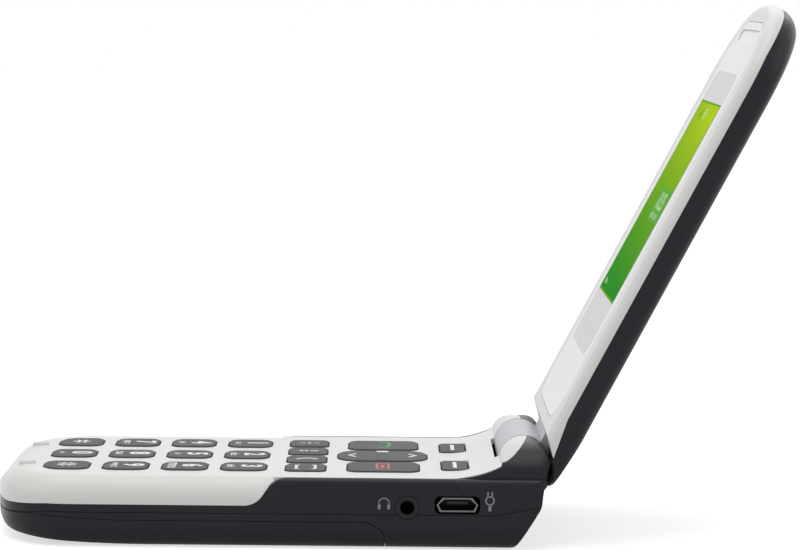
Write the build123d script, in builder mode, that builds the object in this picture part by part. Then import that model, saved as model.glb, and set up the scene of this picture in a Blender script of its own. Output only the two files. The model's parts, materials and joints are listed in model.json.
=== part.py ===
from build123d import *

import os
from math import cos, radians, sin

# A flip phone, open. Millimetres. The origin is the centre of the flat resting face under the
# base, +X points from the keypad end to the hinge, +Z up, and the user's left is +Y.

# Base body
base_length = 102.0
base_width = 52.0
keypad_height = 12.9
base_corner = 13.5
rear_corner = 4.0
end_bow = 6.0
bottom_round = 4.0
top_round = 4.0
end_round = 6.5
nose_height = 5.1
nose_length = 5.0
nose_rise = 1.9
belly_length = 30.0
rear_foot_in = 2.1
rear_bend_out = 2.8
rear_bend_drop = 6.5
rear_top_angle = 46.0
wall = 1.2
top_wall = 1.05
shell_gap = 0.1

# Lines between the shells
border_height = 7.8
border_dip = 2.0
dip_start = 11.0
swoop_start = 48.9
swoop_run = 3.6
swoop_round = 4.0
rail_height = 0.05
rail_width = 1.4
rail_round = 1.2
frame_line = 6.5
frame_line_dip = 2.6
frame_line_climb = 1.4
cover_line = 5.0
cover_end = 72.3
cover_step = 8.0
cover_step_run = 14.0
frame_round = 4.0

# Hinge
hinge_from_end = 97.7
lid_gap = 1.4
ear_radius = 4.6
dome_width = 12.0
skin_run = 5.1
skin_start = 4.5
skin_inward = 1.25
skin_taper = 4.0
ramp_length = 13.7
ramp_rise = 2.2
notch_gap = 0.7
barrel_width = 20.8
ear_gap = 0.5
swing_gap = 0.35
lid_travel = 117.74
bore_radius = 3.2
running_gap = 0.06
shaft_radius = 1.5
ear_bore_depth = 5.2
bush_reach = 5.0
bush_wall = 0.9
cartridge_length = 9.7
shaft_end_gap = 1.3

# Keys
key_height = 0.25
key_gap = 0.2
key_travel = 0.3
key_flange = 0.5
flange_thickness = 0.4
nav_flange = 0.35
key_edge = 0.4
column_pitch = 13.68
row_pitch = 10.85
top_row = 46.15
number_width = 9.0
number_length = 8.3
number_round = 2.2
outer_round = 3.8
shortcut_x = 57.55
shortcut_pitch = 9.53
shortcut_width = 8.0
shortcut_length = 7.3
shortcut_round = 1.2
call_x = 71.8
call_y = 12.75
call_width = 10.9
call_length = 13.2
call_round = 2.0
nav_x = 71.65
nav_width = 11.9
nav_length = 16.7
nav_round = 4.0
nav_tilt = 1.5
soft_x = 85.05
soft_y = 10.4
soft_width = 10.5
soft_length = 4.9
soft_round = 0.9
volume_x = 76.0
volume_length = 17.0
volume_width = 2.6
volume_proud = 0.5
volume_play = 0.3
pad_x = 6.0
pad_y = 11.0
pad_length = 3.2
pad_width = 1.5
pad_height = 0.5

# Boards and switches
board_thickness = 0.7
board_inset = 3.2
board_end_gap = 8.0
film_thickness = 0.1
dome_height = 0.22
dome_radius = 2.0
mat_thickness = 0.25
plunger_radius = 0.9
press_gap = 0.05

# Sockets in the near side
jack_x = 76.2
jack_radius = 2.1
jack_bore = 1.3
jack_depth = 11.0
jack_block = 5.0
usb_x = 85.25
usb_width = 7.5
usb_height = 2.6
usb_depth = 5.4
usb_wall = 0.3
usb_mouth = 0.35
usb_bevel = 1.1
mic_hole_height = 6.0
mic_hole_radius = 0.5
flex_width = 2.6
flex_thickness = 0.15
flex_run = 5.6
flex_side = 2.6
lid_flex_depth = 2.95

# Battery bay and the parts in the base
battery_length = 50.0
battery_width = 38.0
battery_thickness = 3.7
battery_end = 67.5
cover_wall = 1.0
cover_gap = 0.15
core_wall = 1.0
deck_thickness = 0.8
bay_gap = 0.2
bay_wall = 1.0
screw_radius = 0.8
screw_head = 1.4
screw_head_height = 0.9
boss_wall = 1.2
screw_first = 6.8
screw_first_inward = 10.0
screw_second = 70.2
screw_second_inward = 5.2
screw_third = 90.4
screw_third_inward = 12.0
thread_gap = 0.02
speaker_x = 80.5
speaker_gap = 1.6
speaker_length = 15.0
speaker_width = 11.0
speaker_thickness = 3.0
motor_x = 78.5
motor_inward = 5.4
motor_radius = 2.0
motor_length = 8.0
weight_length = 3.2
weight_gap = 0.5
contact_width = 12.0
contact_depth = 3.4
sim_offset = -6.0
sim_window = 22.0
sim_width = 16.0
sim_length = 16.0
sim_thickness = 1.5
chip_height = 1.0
chip_length = 7.0
chip_width = 6.0
chip_first = 20.0
chip_second = 38.0
chip_third = 78.5
chip_inward = 12.0
mic_radius = 1.5
mic_inward = 0.3
mic_thickness = 1.4
antenna_width = 4.0
antenna_length = 9.0
antenna_gap = 2.4
hook_width = 8.0
hook_reach = 6.0

# Lid
lid_length = 95.9
lid_width = base_width
lid_thickness = 6.4
lid_corner = 16.5
lid_back_round = 3.4
lid_face_round = 1.6
lid_border = 1.8
lid_floor = 1.85
lip_reach = 1.3
window_start = 9.9
window_end = lid_length - 4.3
window_width = 40.0
window_round = 6.0
window_end_round = 11.0
window_thickness = 0.8
window_gap = 0.12
screen_start = 33.66
screen_length = 40.8
screen_width = 30.6
panel_margin = 2.6
panel_thickness = 1.8
gasket_thickness = 0.3
tray_wall = 0.3
earpiece_at = lid_length - 7.2
slot_length = 26.0
slot_width = 2.6
neck_length = 20.0
lid_board_thickness = 0.8
face_start = 7.7
tip_along = 4.6
tip_depth = 2.9
border_from = 12.0
lid_dip_from = 86.0
lid_dip = 0.8
taper_from = 9.7
taper_to = 0.2
taper_depth = 5.4
lip_depth = 4.85
hinge_solid = 13.0
neck_front = 1.3
neck_step = 0.7
neck_back = 4.5
neck_start = 3.0
neck_end = 12.0
flex_slot_low = 3.5
flex_slot_high = 2.4
lid_screw_radius = 0.7
lid_screw_head = 1.4
lid_screw_head_height = 0.6
lid_screw_depth = 5.5
lid_screw_low = 16.0
lid_screw_high = 11.4
tray_depth = 2.95
lid_board_depth = 4.1
lid_board_start = 24.0
lid_board_end = 80.0
lid_board_width = 34.0
connector_length = 3.0
earpiece_width = 12.0
earpiece_length = 6.0
earpiece_thickness = 2.4
mesh_thickness = 0.2
mesh_depth = 0.3
magnet_along = lid_length - 19.9
magnet_inset = 3.5
magnet_side = lid_width / 2 - magnet_inset
magnet_radius = 2.0
magnet_thickness = 1.1

# Places worked out from the sizes above
half_width = base_width / 2
keypad_end = -base_length / 2
hinge_x = keypad_end + hinge_from_end
hinge_z = keypad_height + lid_gap
rail_top = keypad_height + rail_height
swing_radius = ear_radius + swing_gap
ear_inner = barrel_width / 2 + ear_gap
notch_x = hinge_x - ear_radius - notch_gap
cover_end_x = keypad_end + cover_end
cavity_top = keypad_height - top_wall
ear_front = hinge_x - ear_radius + 0.8
panel_start = keypad_end + swoop_start + swoop_run
rail_inner = half_width - rail_width
deck_top = frame_line - shell_gap
deck_bottom = deck_top - deck_thickness
flange_top = cavity_top - press_gap
flange_bottom = flange_top - flange_thickness
mat_top = flange_bottom - key_travel - press_gap
mat_bottom = mat_top - mat_thickness
dome_top = mat_bottom - 0.15
film_top = dome_top - dome_height
board_top = film_top - film_thickness
board_bottom = board_top - board_thickness
key_top = keypad_height + key_height
boss_meet = board_bottom
motor_at = (keypad_end + motor_x, half_width - motor_inward)
speaker_side = motor_at[1] - motor_radius - speaker_gap - speaker_length / 2
speaker_at = (keypad_end + speaker_x, speaker_side)
motor_height = 3.9
contact_height = 3.0
hook_top = cover_wall + 0.45
cover_round = 2.0
jack_at = (keypad_end + jack_x, 7.8)
usb_at = (keypad_end + usb_x, board_bottom - usb_height / 2)
far = 2 * base_length
hinge_axis = Plane((hinge_x, 0, hinge_z), x_dir=(1, 0, 0), z_dir=(0, -1, 0))
lean = radians(180 - lid_travel)
lid_along = (cos(lean), 0, sin(lean))
lid_out = (-sin(lean), 0, cos(lean))
lid_face = Plane((hinge_x, 0, hinge_z), x_dir=lid_along, z_dir=lid_out)
lid_side = Plane((hinge_x, 0, hinge_z), x_dir=lid_along, z_dir=(0, -1, 0))
lid_depth_axis = Axis((hinge_x, 0, hinge_z), lid_out)

os.makedirs("parts", exist_ok=True)


def save(part, name):
    """Labels a finished piece and writes it under its name."""
    part.label = name
    export_step(part, f"parts/{name}.step")


# Outlines of the base


def base_plan(inset=0.0):
    """Plan of the base, drawn in all round by inset."""
    side = half_width - inset
    end = keypad_end + inset
    rear = hinge_x + ear_radius - inset
    with BuildSketch() as plan:
        with BuildLine():
            bow = ThreePointArc((end + end_bow, side), (end, 0), (end + end_bow, -side))
            Polyline(bow @ 1, (rear, -side), (rear, side), bow @ 0)
        make_face()
        fillet(plan.vertices().group_by(Axis.X)[0], base_corner - inset)
        fillet(plan.vertices().group_by(Axis.X)[-1], rear_corner - inset)
    return plan.sketch_local


def base_profile(top, inset=0.0):
    """Side profile of the base: nose, belly, rear wall, ear and the ramp up to the ear."""
    rear_top = (
        hinge_x + ear_radius * cos(radians(rear_top_angle)),
        hinge_z - ear_radius * sin(radians(rear_top_angle)),
    )
    rear_bend = (hinge_x + rear_bend_out, hinge_z - rear_bend_drop)
    rear_foot = (hinge_x - rear_foot_in, 0)
    belly_end = (keypad_end + nose_length + belly_length, 0)
    nose_foot = (keypad_end + nose_length, nose_rise)
    nose_tip = (keypad_end, nose_height)
    ramp_start = (hinge_x - ramp_length, keypad_height)
    ramp_end = (hinge_x - ear_radius + 0.1, keypad_height + ramp_rise)
    with BuildSketch() as profile:
        with BuildLine():
            belly = TangentArc(belly_end, nose_foot, tangent=(-1, 0))
            TangentArc(nose_foot, nose_tip, tangent=belly % 1)
            Polyline(nose_tip, (keypad_end, top), (hinge_x, top), (hinge_x, hinge_z), rear_top)
            FilletPolyline(rear_top, rear_bend, rear_foot, belly_end, radius=(3.0, 2.0))
        make_face()
        with BuildLine():
            TangentArc(ramp_start, ramp_end, tangent=(1, 0))
            Polyline(ramp_end, (hinge_x, ramp_end[1]), (hinge_x, keypad_height), ramp_start)
        make_face()
        with Locations((hinge_x, hinge_z)):
            Circle(ear_radius)
        if inset > 0:
            offset(amount=-inset)
    return profile.sketch_local


def dome_section(inset=0.0):
    """Cross-section of the base: rounded rails, and the ears domed up from the rails' tops."""
    side = half_width - inset
    foot = side - rail_width
    ledge = rail_top - inset
    top = hinge_z + ear_radius - inset
    shoulder = half_width - dome_width
    corner = max(rail_round - inset, shell_gap)
    low, reach, rise = ledge - corner, foot - shoulder, top - ledge
    with BuildSketch() as section:
        with BuildLine():
            Polyline((-side, low), (-side, -1), (side, -1), (side, low))
            EllipticalCenterArc((side - corner, low), corner, corner, 0, arc_size=90)
            Line((side - corner, ledge), (foot, ledge))
            EllipticalCenterArc((shoulder, ledge), reach, rise, 0, arc_size=90)
            Line((shoulder, top), (-shoulder, top))
            EllipticalCenterArc((-shoulder, ledge), reach, rise, 90, arc_size=90)
            Line((-foot, ledge), (corner - side, ledge))
            EllipticalCenterArc((corner - side, low), corner, corner, 90, arc_size=90)
        make_face()
    return section.sketch_local


def base_block(top, inset=0.0):
    """Outer form of the base, drawn in by inset."""
    with BuildPart() as block:
        with BuildSketch(Plane.XY.offset(inset)):
            add(base_plan(inset))
        extrude(amount=hinge_z + ear_radius)
        fillet(block.faces().sort_by(Axis.Z)[0].edges(), bottom_round - inset)
        with BuildSketch(Plane.XZ):
            add(base_profile(top, inset))
        extrude(amount=base_width, both=True, mode=Mode.INTERSECT)
        with BuildSketch(Plane.YZ):
            add(dome_section(inset))
        extrude(amount=far, both=True, mode=Mode.INTERSECT)
    return block.part


def side_region(points, corner_round, level):
    """Side face between a rounded line and a level far above or below it."""
    with BuildSketch() as face:
        with BuildLine():
            line = FilletPolyline(*points, radius=corner_round)
            Polyline(line @ 1, (points[-1][0], level), (points[0][0], level), line @ 0)
        make_face()
    return face.sketch_local


def border_points(lift=0.0):
    """Line between the white cover and the dark frame, from the keypad end to the ramp."""
    start = keypad_end - dip_start
    swoop_x = keypad_end + swoop_start
    return [
        (start, border_height - border_dip + lift),
        (keypad_end + dip_start, border_height + lift),
        (swoop_x - lift, border_height + lift),
        (swoop_x + swoop_run - lift, rail_top + lift),
        (far, rail_top + lift),
    ]


def frame_points(lift=0.0):
    """Line between the mid frame and the rear housing."""
    return [
        (keypad_end - dip_start, frame_line - frame_line_dip + lift),
        (keypad_end + dip_start, frame_line + lift),
        (hinge_x - 5.7, frame_line + lift),
        (hinge_x + 8.7, frame_line + 2 * frame_line_climb + lift),
    ]


def cover_points(lift=0.0):
    """Upper edge of the battery cover, level with the frame line round the keypad end."""
    low = frame_points(lift - shell_gap)
    end_x = cover_end_x + lift
    step_x = keypad_end + cover_step
    return [
        low[0],
        (step_x, cover_line + (frame_line - cover_line) * 0.55 + lift),
        (step_x + cover_step_run, cover_line + lift),
        (end_x - 3.4, cover_line + lift),
        (end_x - 0.4, cover_line - 1.6 + lift),
        (end_x, -1.0),
    ]


def panel_plan(grow=0.0, start=panel_start - 0.5):
    """Plan of the white panel: narrower on the ramp, with quarter-ellipse ends on the ears."""
    side = rail_inner + grow
    narrow = side - skin_inward
    taper_from = hinge_x - ramp_length
    taper_to = taper_from + skin_taper
    run = skin_run + grow
    centre = (hinge_x - skin_start, ear_inner)
    reach = narrow - ear_inner
    with BuildSketch() as plan:
        with BuildLine():
            EllipticalCenterArc(centre, run, reach, 0, arc_size=90)
            Polyline(
                (centre[0], narrow),
                (taper_to, narrow),
                (taper_from, side),
                (start, side),
                (start, -side),
                (taper_from, -side),
                (taper_to, -narrow),
                (centre[0], -narrow),
            )
            EllipticalCenterArc((centre[0], -centre[1]), run, reach, 270, arc_size=90)
            Line((centre[0] + run, -centre[1]), (centre[0] + run, centre[1]))
        make_face()
    return plan.sketch_local


def skin_space(depth, plan):
    """Space of the white skin: over the panel's plan, outside the base drawn in by depth."""
    with BuildPart() as space:
        with BuildSketch(Plane.XY.offset(cavity_top - wall)):
            add(plan)
        extrude(amount=2 * ear_radius + wall)
        add(base_block(keypad_height, depth), mode=Mode.SUBTRACT)
    return space.part


outer_block = base_block(rail_top)
cover_inner = base_block(rail_top, cover_wall)
core_outer = base_block(rail_top, cover_wall + cover_gap)
core_inner = base_block(rail_top, cover_wall + cover_gap + core_wall)
chamber = base_block(rail_top, wall)


# Keys: outline, place and label of each

number_names = ["1", "2", "3", "4", "5", "6", "7", "8", "9", "star", "0", "hash"]
keys = {}
for index, name in enumerate(number_names):
    row, column = divmod(index, 3)
    centre = (keypad_end + top_row - row * row_pitch, (1 - column) * column_pitch)
    keys[f"key_{name}"] = (centre, number_length, number_width, number_round)
for index in range(4):
    centre = (keypad_end + shortcut_x, (1.5 - index) * shortcut_pitch)
    keys[f"shortcut_key_{index + 1}"] = (centre, shortcut_length, shortcut_width, shortcut_round)
for name, side in (("call_key", 1), ("end_key", -1)):
    centre = (keypad_end + call_x, side * call_y)
    keys[name] = (centre, call_length, call_width, call_round)
keys["nav_rocker"] = ((keypad_end + nav_x, 0), nav_length, nav_width, nav_round)
for name, side in (("left_soft_key", 1), ("right_soft_key", -1)):
    centre = (keypad_end + soft_x, side * soft_y)
    keys[name] = (centre, soft_length, soft_width, soft_round)


def key_plan(name, grow=0.0):
    """Outline of one key; the star and hash keys are rounder at their outer end corner."""
    centre, length, width, corner = keys[name]
    with BuildSketch() as plan:
        with Locations(centre):
            Rectangle(length, width)
        corners = plan.vertices()
        if name in ("key_star", "key_hash"):
            outward = 1 if name == "key_star" else -1
            end_corners = corners.group_by(Axis.X)[0]
            outer = end_corners.sort_by(Axis.Y)[-1 if outward > 0 else 0]
            fillet([v for v in corners if v != outer], corner)
            outer = plan.vertices().sort_by(lambda v: v.X - outward * v.Y)[0]
            fillet(outer, min(outer_round, length / 2 - 0.1))
        else:
            fillet(corners, corner)
        if grow:
            offset(amount=grow)
    return plan.sketch_local


def key_pressers(name):
    """Points where a key presses: two for the rocker, one for the others."""
    (x, y), length, _, _ = keys[name]
    if name == "nav_rocker":
        return [(x - length / 3, y), (x + length / 3, y)]
    return [(x, y)]


press_points = [point for name in keys for point in key_pressers(name)]


def flange_plan(name):
    """Outline of a key's flange: past both ends, or past both sides of the rocker's middle."""
    centre, length, width, corner = keys[name]
    with BuildSketch() as plan:
        with Locations(centre):
            if name == "nav_rocker":
                Rectangle(length / 2, width + 2 * nav_flange)
            else:
                Rectangle(length + 2 * key_flange, width - 2 * corner)
    return plan.sketch_local


nav_relief = nav_length / 4 * sin(radians(nav_tilt))

for name in keys:
    with BuildPart() as key:
        with BuildSketch(Plane.XY.offset(flange_bottom)):
            add(key_plan(name))
        extrude(amount=key_top - flange_bottom)
        fillet(key.faces().sort_by(Axis.Z)[-1].edges(), key_edge)
        with BuildSketch(Plane.XY.offset(flange_bottom)):
            add(flange_plan(name))
        extrude(amount=flange_thickness - (nav_relief if name == "nav_rocker" else 0))
    save(key.part, name)


# Places of the screws: two by the keypad end, two behind the battery, two by the hinge
screw_points = [
    (keypad_end + x, side * (half_width - inward))
    for x, inward in (
        (screw_first, screw_first_inward),
        (screw_second, screw_second_inward),
        (screw_third, screw_third_inward),
    )
    for side in (-1, 1)
]
boss_radius = screw_radius + boss_wall
column_radius = screw_head + 1.0
screw_seat = deck_bottom - 0.6
screw_tip = cavity_top - 0.6

# Volume rocker's place on the far side wall
volume_at = (keypad_end + volume_x, (frame_line + rail_top) / 2)


def volume_outline(grow=0.0):
    """Long rounded outline of the volume rocker, seen from the side."""
    with BuildSketch() as outline:
        with Locations(volume_at):
            SlotOverall(volume_length + 2 * grow, volume_width + 2 * grow)
    return outline.sketch_local


# Base front cover: white shell with the keypad face, rounder at the keypad end
front_low = frame_line - frame_line_dip


def front_form(top, inset=0.0):
    """Outer form of the white front up to a level, drawn in by inset."""
    end = keypad_end + inset
    arc = end_round - inset
    with BuildPart() as form:
        with BuildSketch(Plane.XY.offset(front_low)):
            add(base_plan(inset))
        extrude(amount=top - front_low)
        fillet(form.faces().sort_by(Axis.Z)[-1].edges(), top_round - inset)
        with BuildSketch(Plane.XZ):
            with BuildLine():
                EllipticalCenterArc((end + arc, top - arc), arc, arc, 90, arc_size=90)
                Polyline((end, top - arc), (end, -1), (far, -1), (far, top), (end + arc, top))
            make_face()
        extrude(amount=base_width, both=True, mode=Mode.INTERSECT)
    return form.part


cover_form = front_form(keypad_height)

with BuildPart() as below_border:
    with BuildSketch(Plane.XZ):
        add(side_region(border_points(shell_gap), swoop_round, -far))
    extrude(amount=base_width, both=True)
    with BuildSketch(Plane.XY.offset(-far)):
        with Locations((keypad_end + end_bow + base_corner + far / 2, 0)):
            Rectangle(far, 2 * (rail_inner - shell_gap))
    extrude(amount=2 * far, mode=Mode.SUBTRACT)

with BuildPart() as rear_skin:
    add(base_block(keypad_height))
    add(skin_space(top_wall, panel_plan(-shell_gap)), mode=Mode.INTERSECT)

with BuildPart() as front_bosses:
    with BuildSketch(Plane.XY.offset(boss_meet + press_gap)):
        with Locations(screw_points):
            Circle(boss_radius)
    extrude(amount=2 * ear_radius)
    add(base_block(keypad_height, top_wall / 2), mode=Mode.INTERSECT)

with BuildPart() as base_front_cover:
    add(cover_form)
    add(front_form(cavity_top, wall), mode=Mode.SUBTRACT)
    add(below_border.part, mode=Mode.SUBTRACT)
    with BuildSketch():
        with Locations((panel_start + far / 2, 0)):
            Rectangle(far, far)
    extrude(amount=far, mode=Mode.SUBTRACT)
    add(rear_skin.part)
    with BuildSketch(Plane.XY.offset(front_low)):
        with Locations((notch_x + far / 2, 0)):
            Rectangle(far, 2 * ear_inner)
    extrude(amount=far, mode=Mode.SUBTRACT)
    add(front_bosses.part)
    with BuildSketch(Plane.XY.offset(boss_meet)):
        with Locations(screw_points):
            Circle(screw_radius + thread_gap)
    extrude(amount=screw_tip + shell_gap - boss_meet, mode=Mode.SUBTRACT)
    for name in keys:
        with BuildSketch(Plane.XY.offset(cavity_top - 0.5)):
            add(key_plan(name, key_gap))
        extrude(amount=top_wall + 1.0, mode=Mode.SUBTRACT)
save(base_front_cover.part, "base_front_cover")

# Stop pads: two soft capsules that the closed lid comes down over
with BuildPart() as stop_pads:
    with BuildSketch(Plane.XY.offset(keypad_height - pad_width)):
        with Locations((keypad_end + pad_x, pad_y), (keypad_end + pad_x, -pad_y)):
            SlotOverall(pad_length, pad_width)
    extrude(amount=pad_width + pad_height)
    fillet(stop_pads.faces().group_by(Axis.Z)[-1].edges(), pad_height * 0.8)
    add(cover_form, mode=Mode.SUBTRACT)
save(stop_pads.part, "stop_pads")

# Mid frame: dark ring with the high side walls and both hinge ears
with BuildPart() as frame_hollow:
    add(base_block(keypad_height, top_wall))
    with BuildSketch(Plane.XY.offset(-1)):
        add(base_plan(rail_width))
        with Locations((ear_front - far / 2, 0)):
            Rectangle(far, far, mode=Mode.INTERSECT)
    extrude(amount=far, mode=Mode.INTERSECT)

with BuildPart() as mid_frame:
    add(outer_block)
    with BuildSketch(Plane.XZ):
        add(side_region(frame_points(), frame_round, far))
    extrude(amount=base_width, both=True, mode=Mode.INTERSECT)
    with BuildSketch(Plane.XZ):
        add(side_region(border_points(), swoop_round, -far))
        with Locations((hinge_x - ramp_length + far / 2, 0)):
            Rectangle(far, 2 * far)
    extrude(amount=base_width, both=True, mode=Mode.INTERSECT)
    with BuildSketch(Plane.XY.offset(-1)):
        add(base_plan(rail_width))
        with Locations((ear_front - far / 2, 0)):
            Rectangle(far, far, mode=Mode.INTERSECT)
    extrude(amount=cavity_top + 1, mode=Mode.SUBTRACT)
    add(frame_hollow.part, mode=Mode.SUBTRACT)
    add(skin_space(top_wall + shell_gap, panel_plan(0, keypad_end + dip_start)), mode=Mode.SUBTRACT)
    with BuildSketch(hinge_axis):
        Circle(swing_radius)
    extrude(amount=ear_inner, both=True, mode=Mode.SUBTRACT)
    with BuildSketch(hinge_axis):
        Circle(bore_radius)
    extrude(amount=ear_inner + ear_bore_depth, both=True, mode=Mode.SUBTRACT)
    with BuildSketch(Plane.XZ.offset(ear_inner + ear_bore_depth)):
        with Locations((hinge_x - 1.0, hinge_z - 1.5)):
            Rectangle(3.6, 6.6)
        with Locations((hinge_x - 2.5, board_top + 0.6)):
            Rectangle(6.6, 2.0)
    extrude(amount=flex_width + 0.8, mode=Mode.SUBTRACT)
    with BuildSketch(Plane.XZ):
        with Locations(jack_at):
            Circle(jack_radius + shell_gap)
        with Locations((usb_at[0], usb_at[1])):
            RectangleRounded(usb_width + 2 * usb_mouth, usb_height + 2 * usb_mouth, 1.0)
    extrude(amount=base_width, mode=Mode.SUBTRACT)
    with BuildSketch(Plane.XZ):
        add(volume_outline(key_gap))
    extrude(amount=-base_width, mode=Mode.SUBTRACT)
    with BuildSketch(Plane.YZ.offset(keypad_end - 1)):
        with Locations((0, mic_hole_height)):
            Circle(mic_hole_radius)
    extrude(amount=rail_width + 2, mode=Mode.SUBTRACT)
save(mid_frame.part, "mid_frame")

# Rear housing: dark chassis with the battery bay, the deck over it and the speaker slots
bay_length = battery_length + 2 * bay_gap
bay_width = battery_width + 2 * bay_gap
battery_x = keypad_end + battery_end - battery_length / 2
bay_end_x = battery_x + bay_length / 2

with BuildPart() as pocket:
    add(core_inner)
    with BuildSketch():
        with Locations((cover_end_x - wall - far / 2, 0)):
            Rectangle(far, far)
    extrude(amount=deck_bottom, mode=Mode.INTERSECT)
    with BuildSketch():
        with Locations((battery_x, 0)):
            Rectangle(bay_length + 2 * bay_wall, bay_width + 2 * bay_wall)
        with Locations(screw_points):
            Circle(column_radius)
    extrude(amount=deck_bottom, mode=Mode.SUBTRACT)

with BuildPart() as rear_chamber:
    add(chamber)
    with BuildSketch():
        with Locations((cover_end_x + shell_gap + wall + far / 2, 0)):
            Rectangle(far, far)
    extrude(amount=far, mode=Mode.INTERSECT)
    with BuildSketch():
        with Locations(screw_points):
            Circle(column_radius)
    extrude(amount=far, mode=Mode.SUBTRACT)
    with BuildSketch():
        with Locations(motor_at):
            Rectangle(motor_length * 0.6, 2 * motor_radius + 1.6)
    extrude(amount=motor_height - 0.5, mode=Mode.SUBTRACT)

with BuildPart() as cover_space:
    with BuildSketch(Plane.XZ):
        add(side_region(cover_points(shell_gap), cover_round, -far))
    extrude(amount=base_width, both=True)
    add(core_outer, mode=Mode.SUBTRACT)

with BuildPart() as rear_housing:
    add(outer_block)
    with BuildSketch(Plane.XZ):
        add(side_region(frame_points(-shell_gap), frame_round, -far))
    extrude(amount=base_width, both=True, mode=Mode.INTERSECT)
    add(cover_space.part, mode=Mode.SUBTRACT)
    add(pocket.part, mode=Mode.SUBTRACT)
    add(rear_chamber.part, mode=Mode.SUBTRACT)
    with BuildSketch(Plane.XY.offset(-1)):
        with Locations((battery_x, 0)):
            Rectangle(bay_length, bay_width)
    extrude(amount=deck_bottom + 1, mode=Mode.SUBTRACT)
    with BuildSketch(Plane.XY.offset(-1)):
        with Locations((battery_x + sim_offset, 0)):
            Rectangle(sim_window, sim_width + 1.0)
    extrude(amount=deck_top + 2, mode=Mode.SUBTRACT)
    with BuildSketch(Plane.XY.offset(contact_height - 0.3)):
        with Locations((bay_end_x + contact_depth / 2, 0)):
            Rectangle(contact_depth + 1.2, contact_width + 0.6)
    extrude(amount=deck_top, mode=Mode.SUBTRACT)
    with BuildSketch():
        with Locations((bay_end_x + (hook_reach + 1) / 2, 0)):
            Rectangle(hook_reach + 1.2, hook_width + 0.5)
    extrude(amount=hook_top + shell_gap, mode=Mode.SUBTRACT)
    with BuildSketch(Plane.XY.offset(deck_top - 1.2)):
        with Locations(screw_points):
            Circle(boss_radius)
    extrude(amount=boss_meet - deck_top + 1.2)
    with BuildSketch(Plane.XY.offset(-1)):
        with Locations(screw_points):
            Circle(screw_head + 0.2)
    extrude(amount=screw_seat + 1, mode=Mode.SUBTRACT)
    with BuildSketch():
        with Locations(screw_points):
            Circle(screw_radius + 0.05)
    extrude(amount=far, mode=Mode.SUBTRACT)
    with BuildSketch(Plane.XY.offset(-1)):
        with Locations(speaker_at):
            with GridLocations(2.0, 0, 4, 1):
                SlotOverall(speaker_length * 0.55, 0.9, rotation=90)
    extrude(amount=wall + 2, mode=Mode.SUBTRACT)
    with BuildSketch(Plane.YZ.offset(motor_at[0] - motor_length)):
        with Locations((motor_at[1], motor_height)):
            Circle(motor_radius + press_gap)
    extrude(amount=2 * motor_length, mode=Mode.SUBTRACT)
    with BuildSketch(Plane.XZ):
        with Locations(jack_at):
            Circle(jack_radius + shell_gap)
    extrude(amount=base_width, mode=Mode.SUBTRACT)
save(rear_housing.part, "rear_housing")

# Battery cover: slides off past the keypad end
with BuildPart() as battery_cover:
    add(outer_block)
    with BuildSketch(Plane.XZ):
        add(side_region(cover_points(), cover_round, -far))
    extrude(amount=base_width, both=True, mode=Mode.INTERSECT)
    add(cover_inner, mode=Mode.SUBTRACT)
    with BuildSketch(Plane.XY.offset(cover_wall / 2)):
        with Locations((bay_end_x + hook_reach / 2, 0)):
            Rectangle(hook_reach, hook_width)
    extrude(amount=hook_top - cover_wall / 2)
save(battery_cover.part, "battery_cover")

# Main circuit board with its chips, below the keys
board_start = keypad_end + board_end_gap
board_stop = ear_front - 0.6


def board_plan(grow=0.0):
    """Plan of the boards under the keys, with room for the screw bosses."""
    with BuildSketch() as plan:
        add(base_plan(board_inset - grow))
        with Locations(((board_start + board_stop) / 2, 0)):
            Rectangle(board_stop - board_start, far, mode=Mode.INTERSECT)
        with Locations(screw_points):
            Circle(boss_radius + key_gap, mode=Mode.SUBTRACT)
    return plan.sketch_local


chip_places = [
    (keypad_end + chip_first, half_width - chip_inward),
    (keypad_end + chip_second, half_width - chip_inward + 0.5),
    (keypad_end + chip_third, -2.0),
]
with BuildPart() as main_board:
    with BuildSketch(Plane.XY.offset(board_bottom)):
        add(board_plan())
    extrude(amount=board_thickness)
    with BuildSketch(Plane.XY.offset(board_bottom - chip_height)):
        with Locations(chip_places):
            Rectangle(chip_length, chip_width)
    extrude(amount=chip_height)
save(main_board.part, "main_board")

# Dome sheet: a film with one snap dome under each key, two under the rocker
with BuildPart() as dome_sheet:
    with BuildSketch(Plane.XY.offset(board_top)):
        add(board_plan(-0.4))
    extrude(amount=film_thickness)
    with BuildSketch(Plane.XY.offset(film_top - film_thickness / 2)):
        with Locations(press_points):
            Circle(dome_radius)
    extrude(amount=dome_height + film_thickness / 2, taper=40)
save(dome_sheet.part, "dome_sheet")

# Silicone key mat with a plunger over each dome
with BuildPart() as key_mat:
    with BuildSketch(Plane.XY.offset(mat_bottom)):
        add(board_plan())
    extrude(amount=mat_thickness)
    with BuildSketch(Plane.XY.offset(dome_top + press_gap)):
        with Locations(press_points):
            Circle(plunger_radius)
    extrude(amount=mat_bottom - dome_top - press_gap)
save(key_mat.part, "key_mat")

# Battery pack in its bay
battery_top = deck_bottom - shell_gap
with BuildPart() as battery:
    with BuildSketch(Plane.XY.offset(battery_top - battery_thickness)):
        with Locations((battery_x, 0)):
            Rectangle(battery_length, battery_width)
    extrude(amount=battery_thickness)
    fillet(battery.edges().filter_by(Axis.X), battery_thickness / 4)
save(battery.part, "battery")

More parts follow.
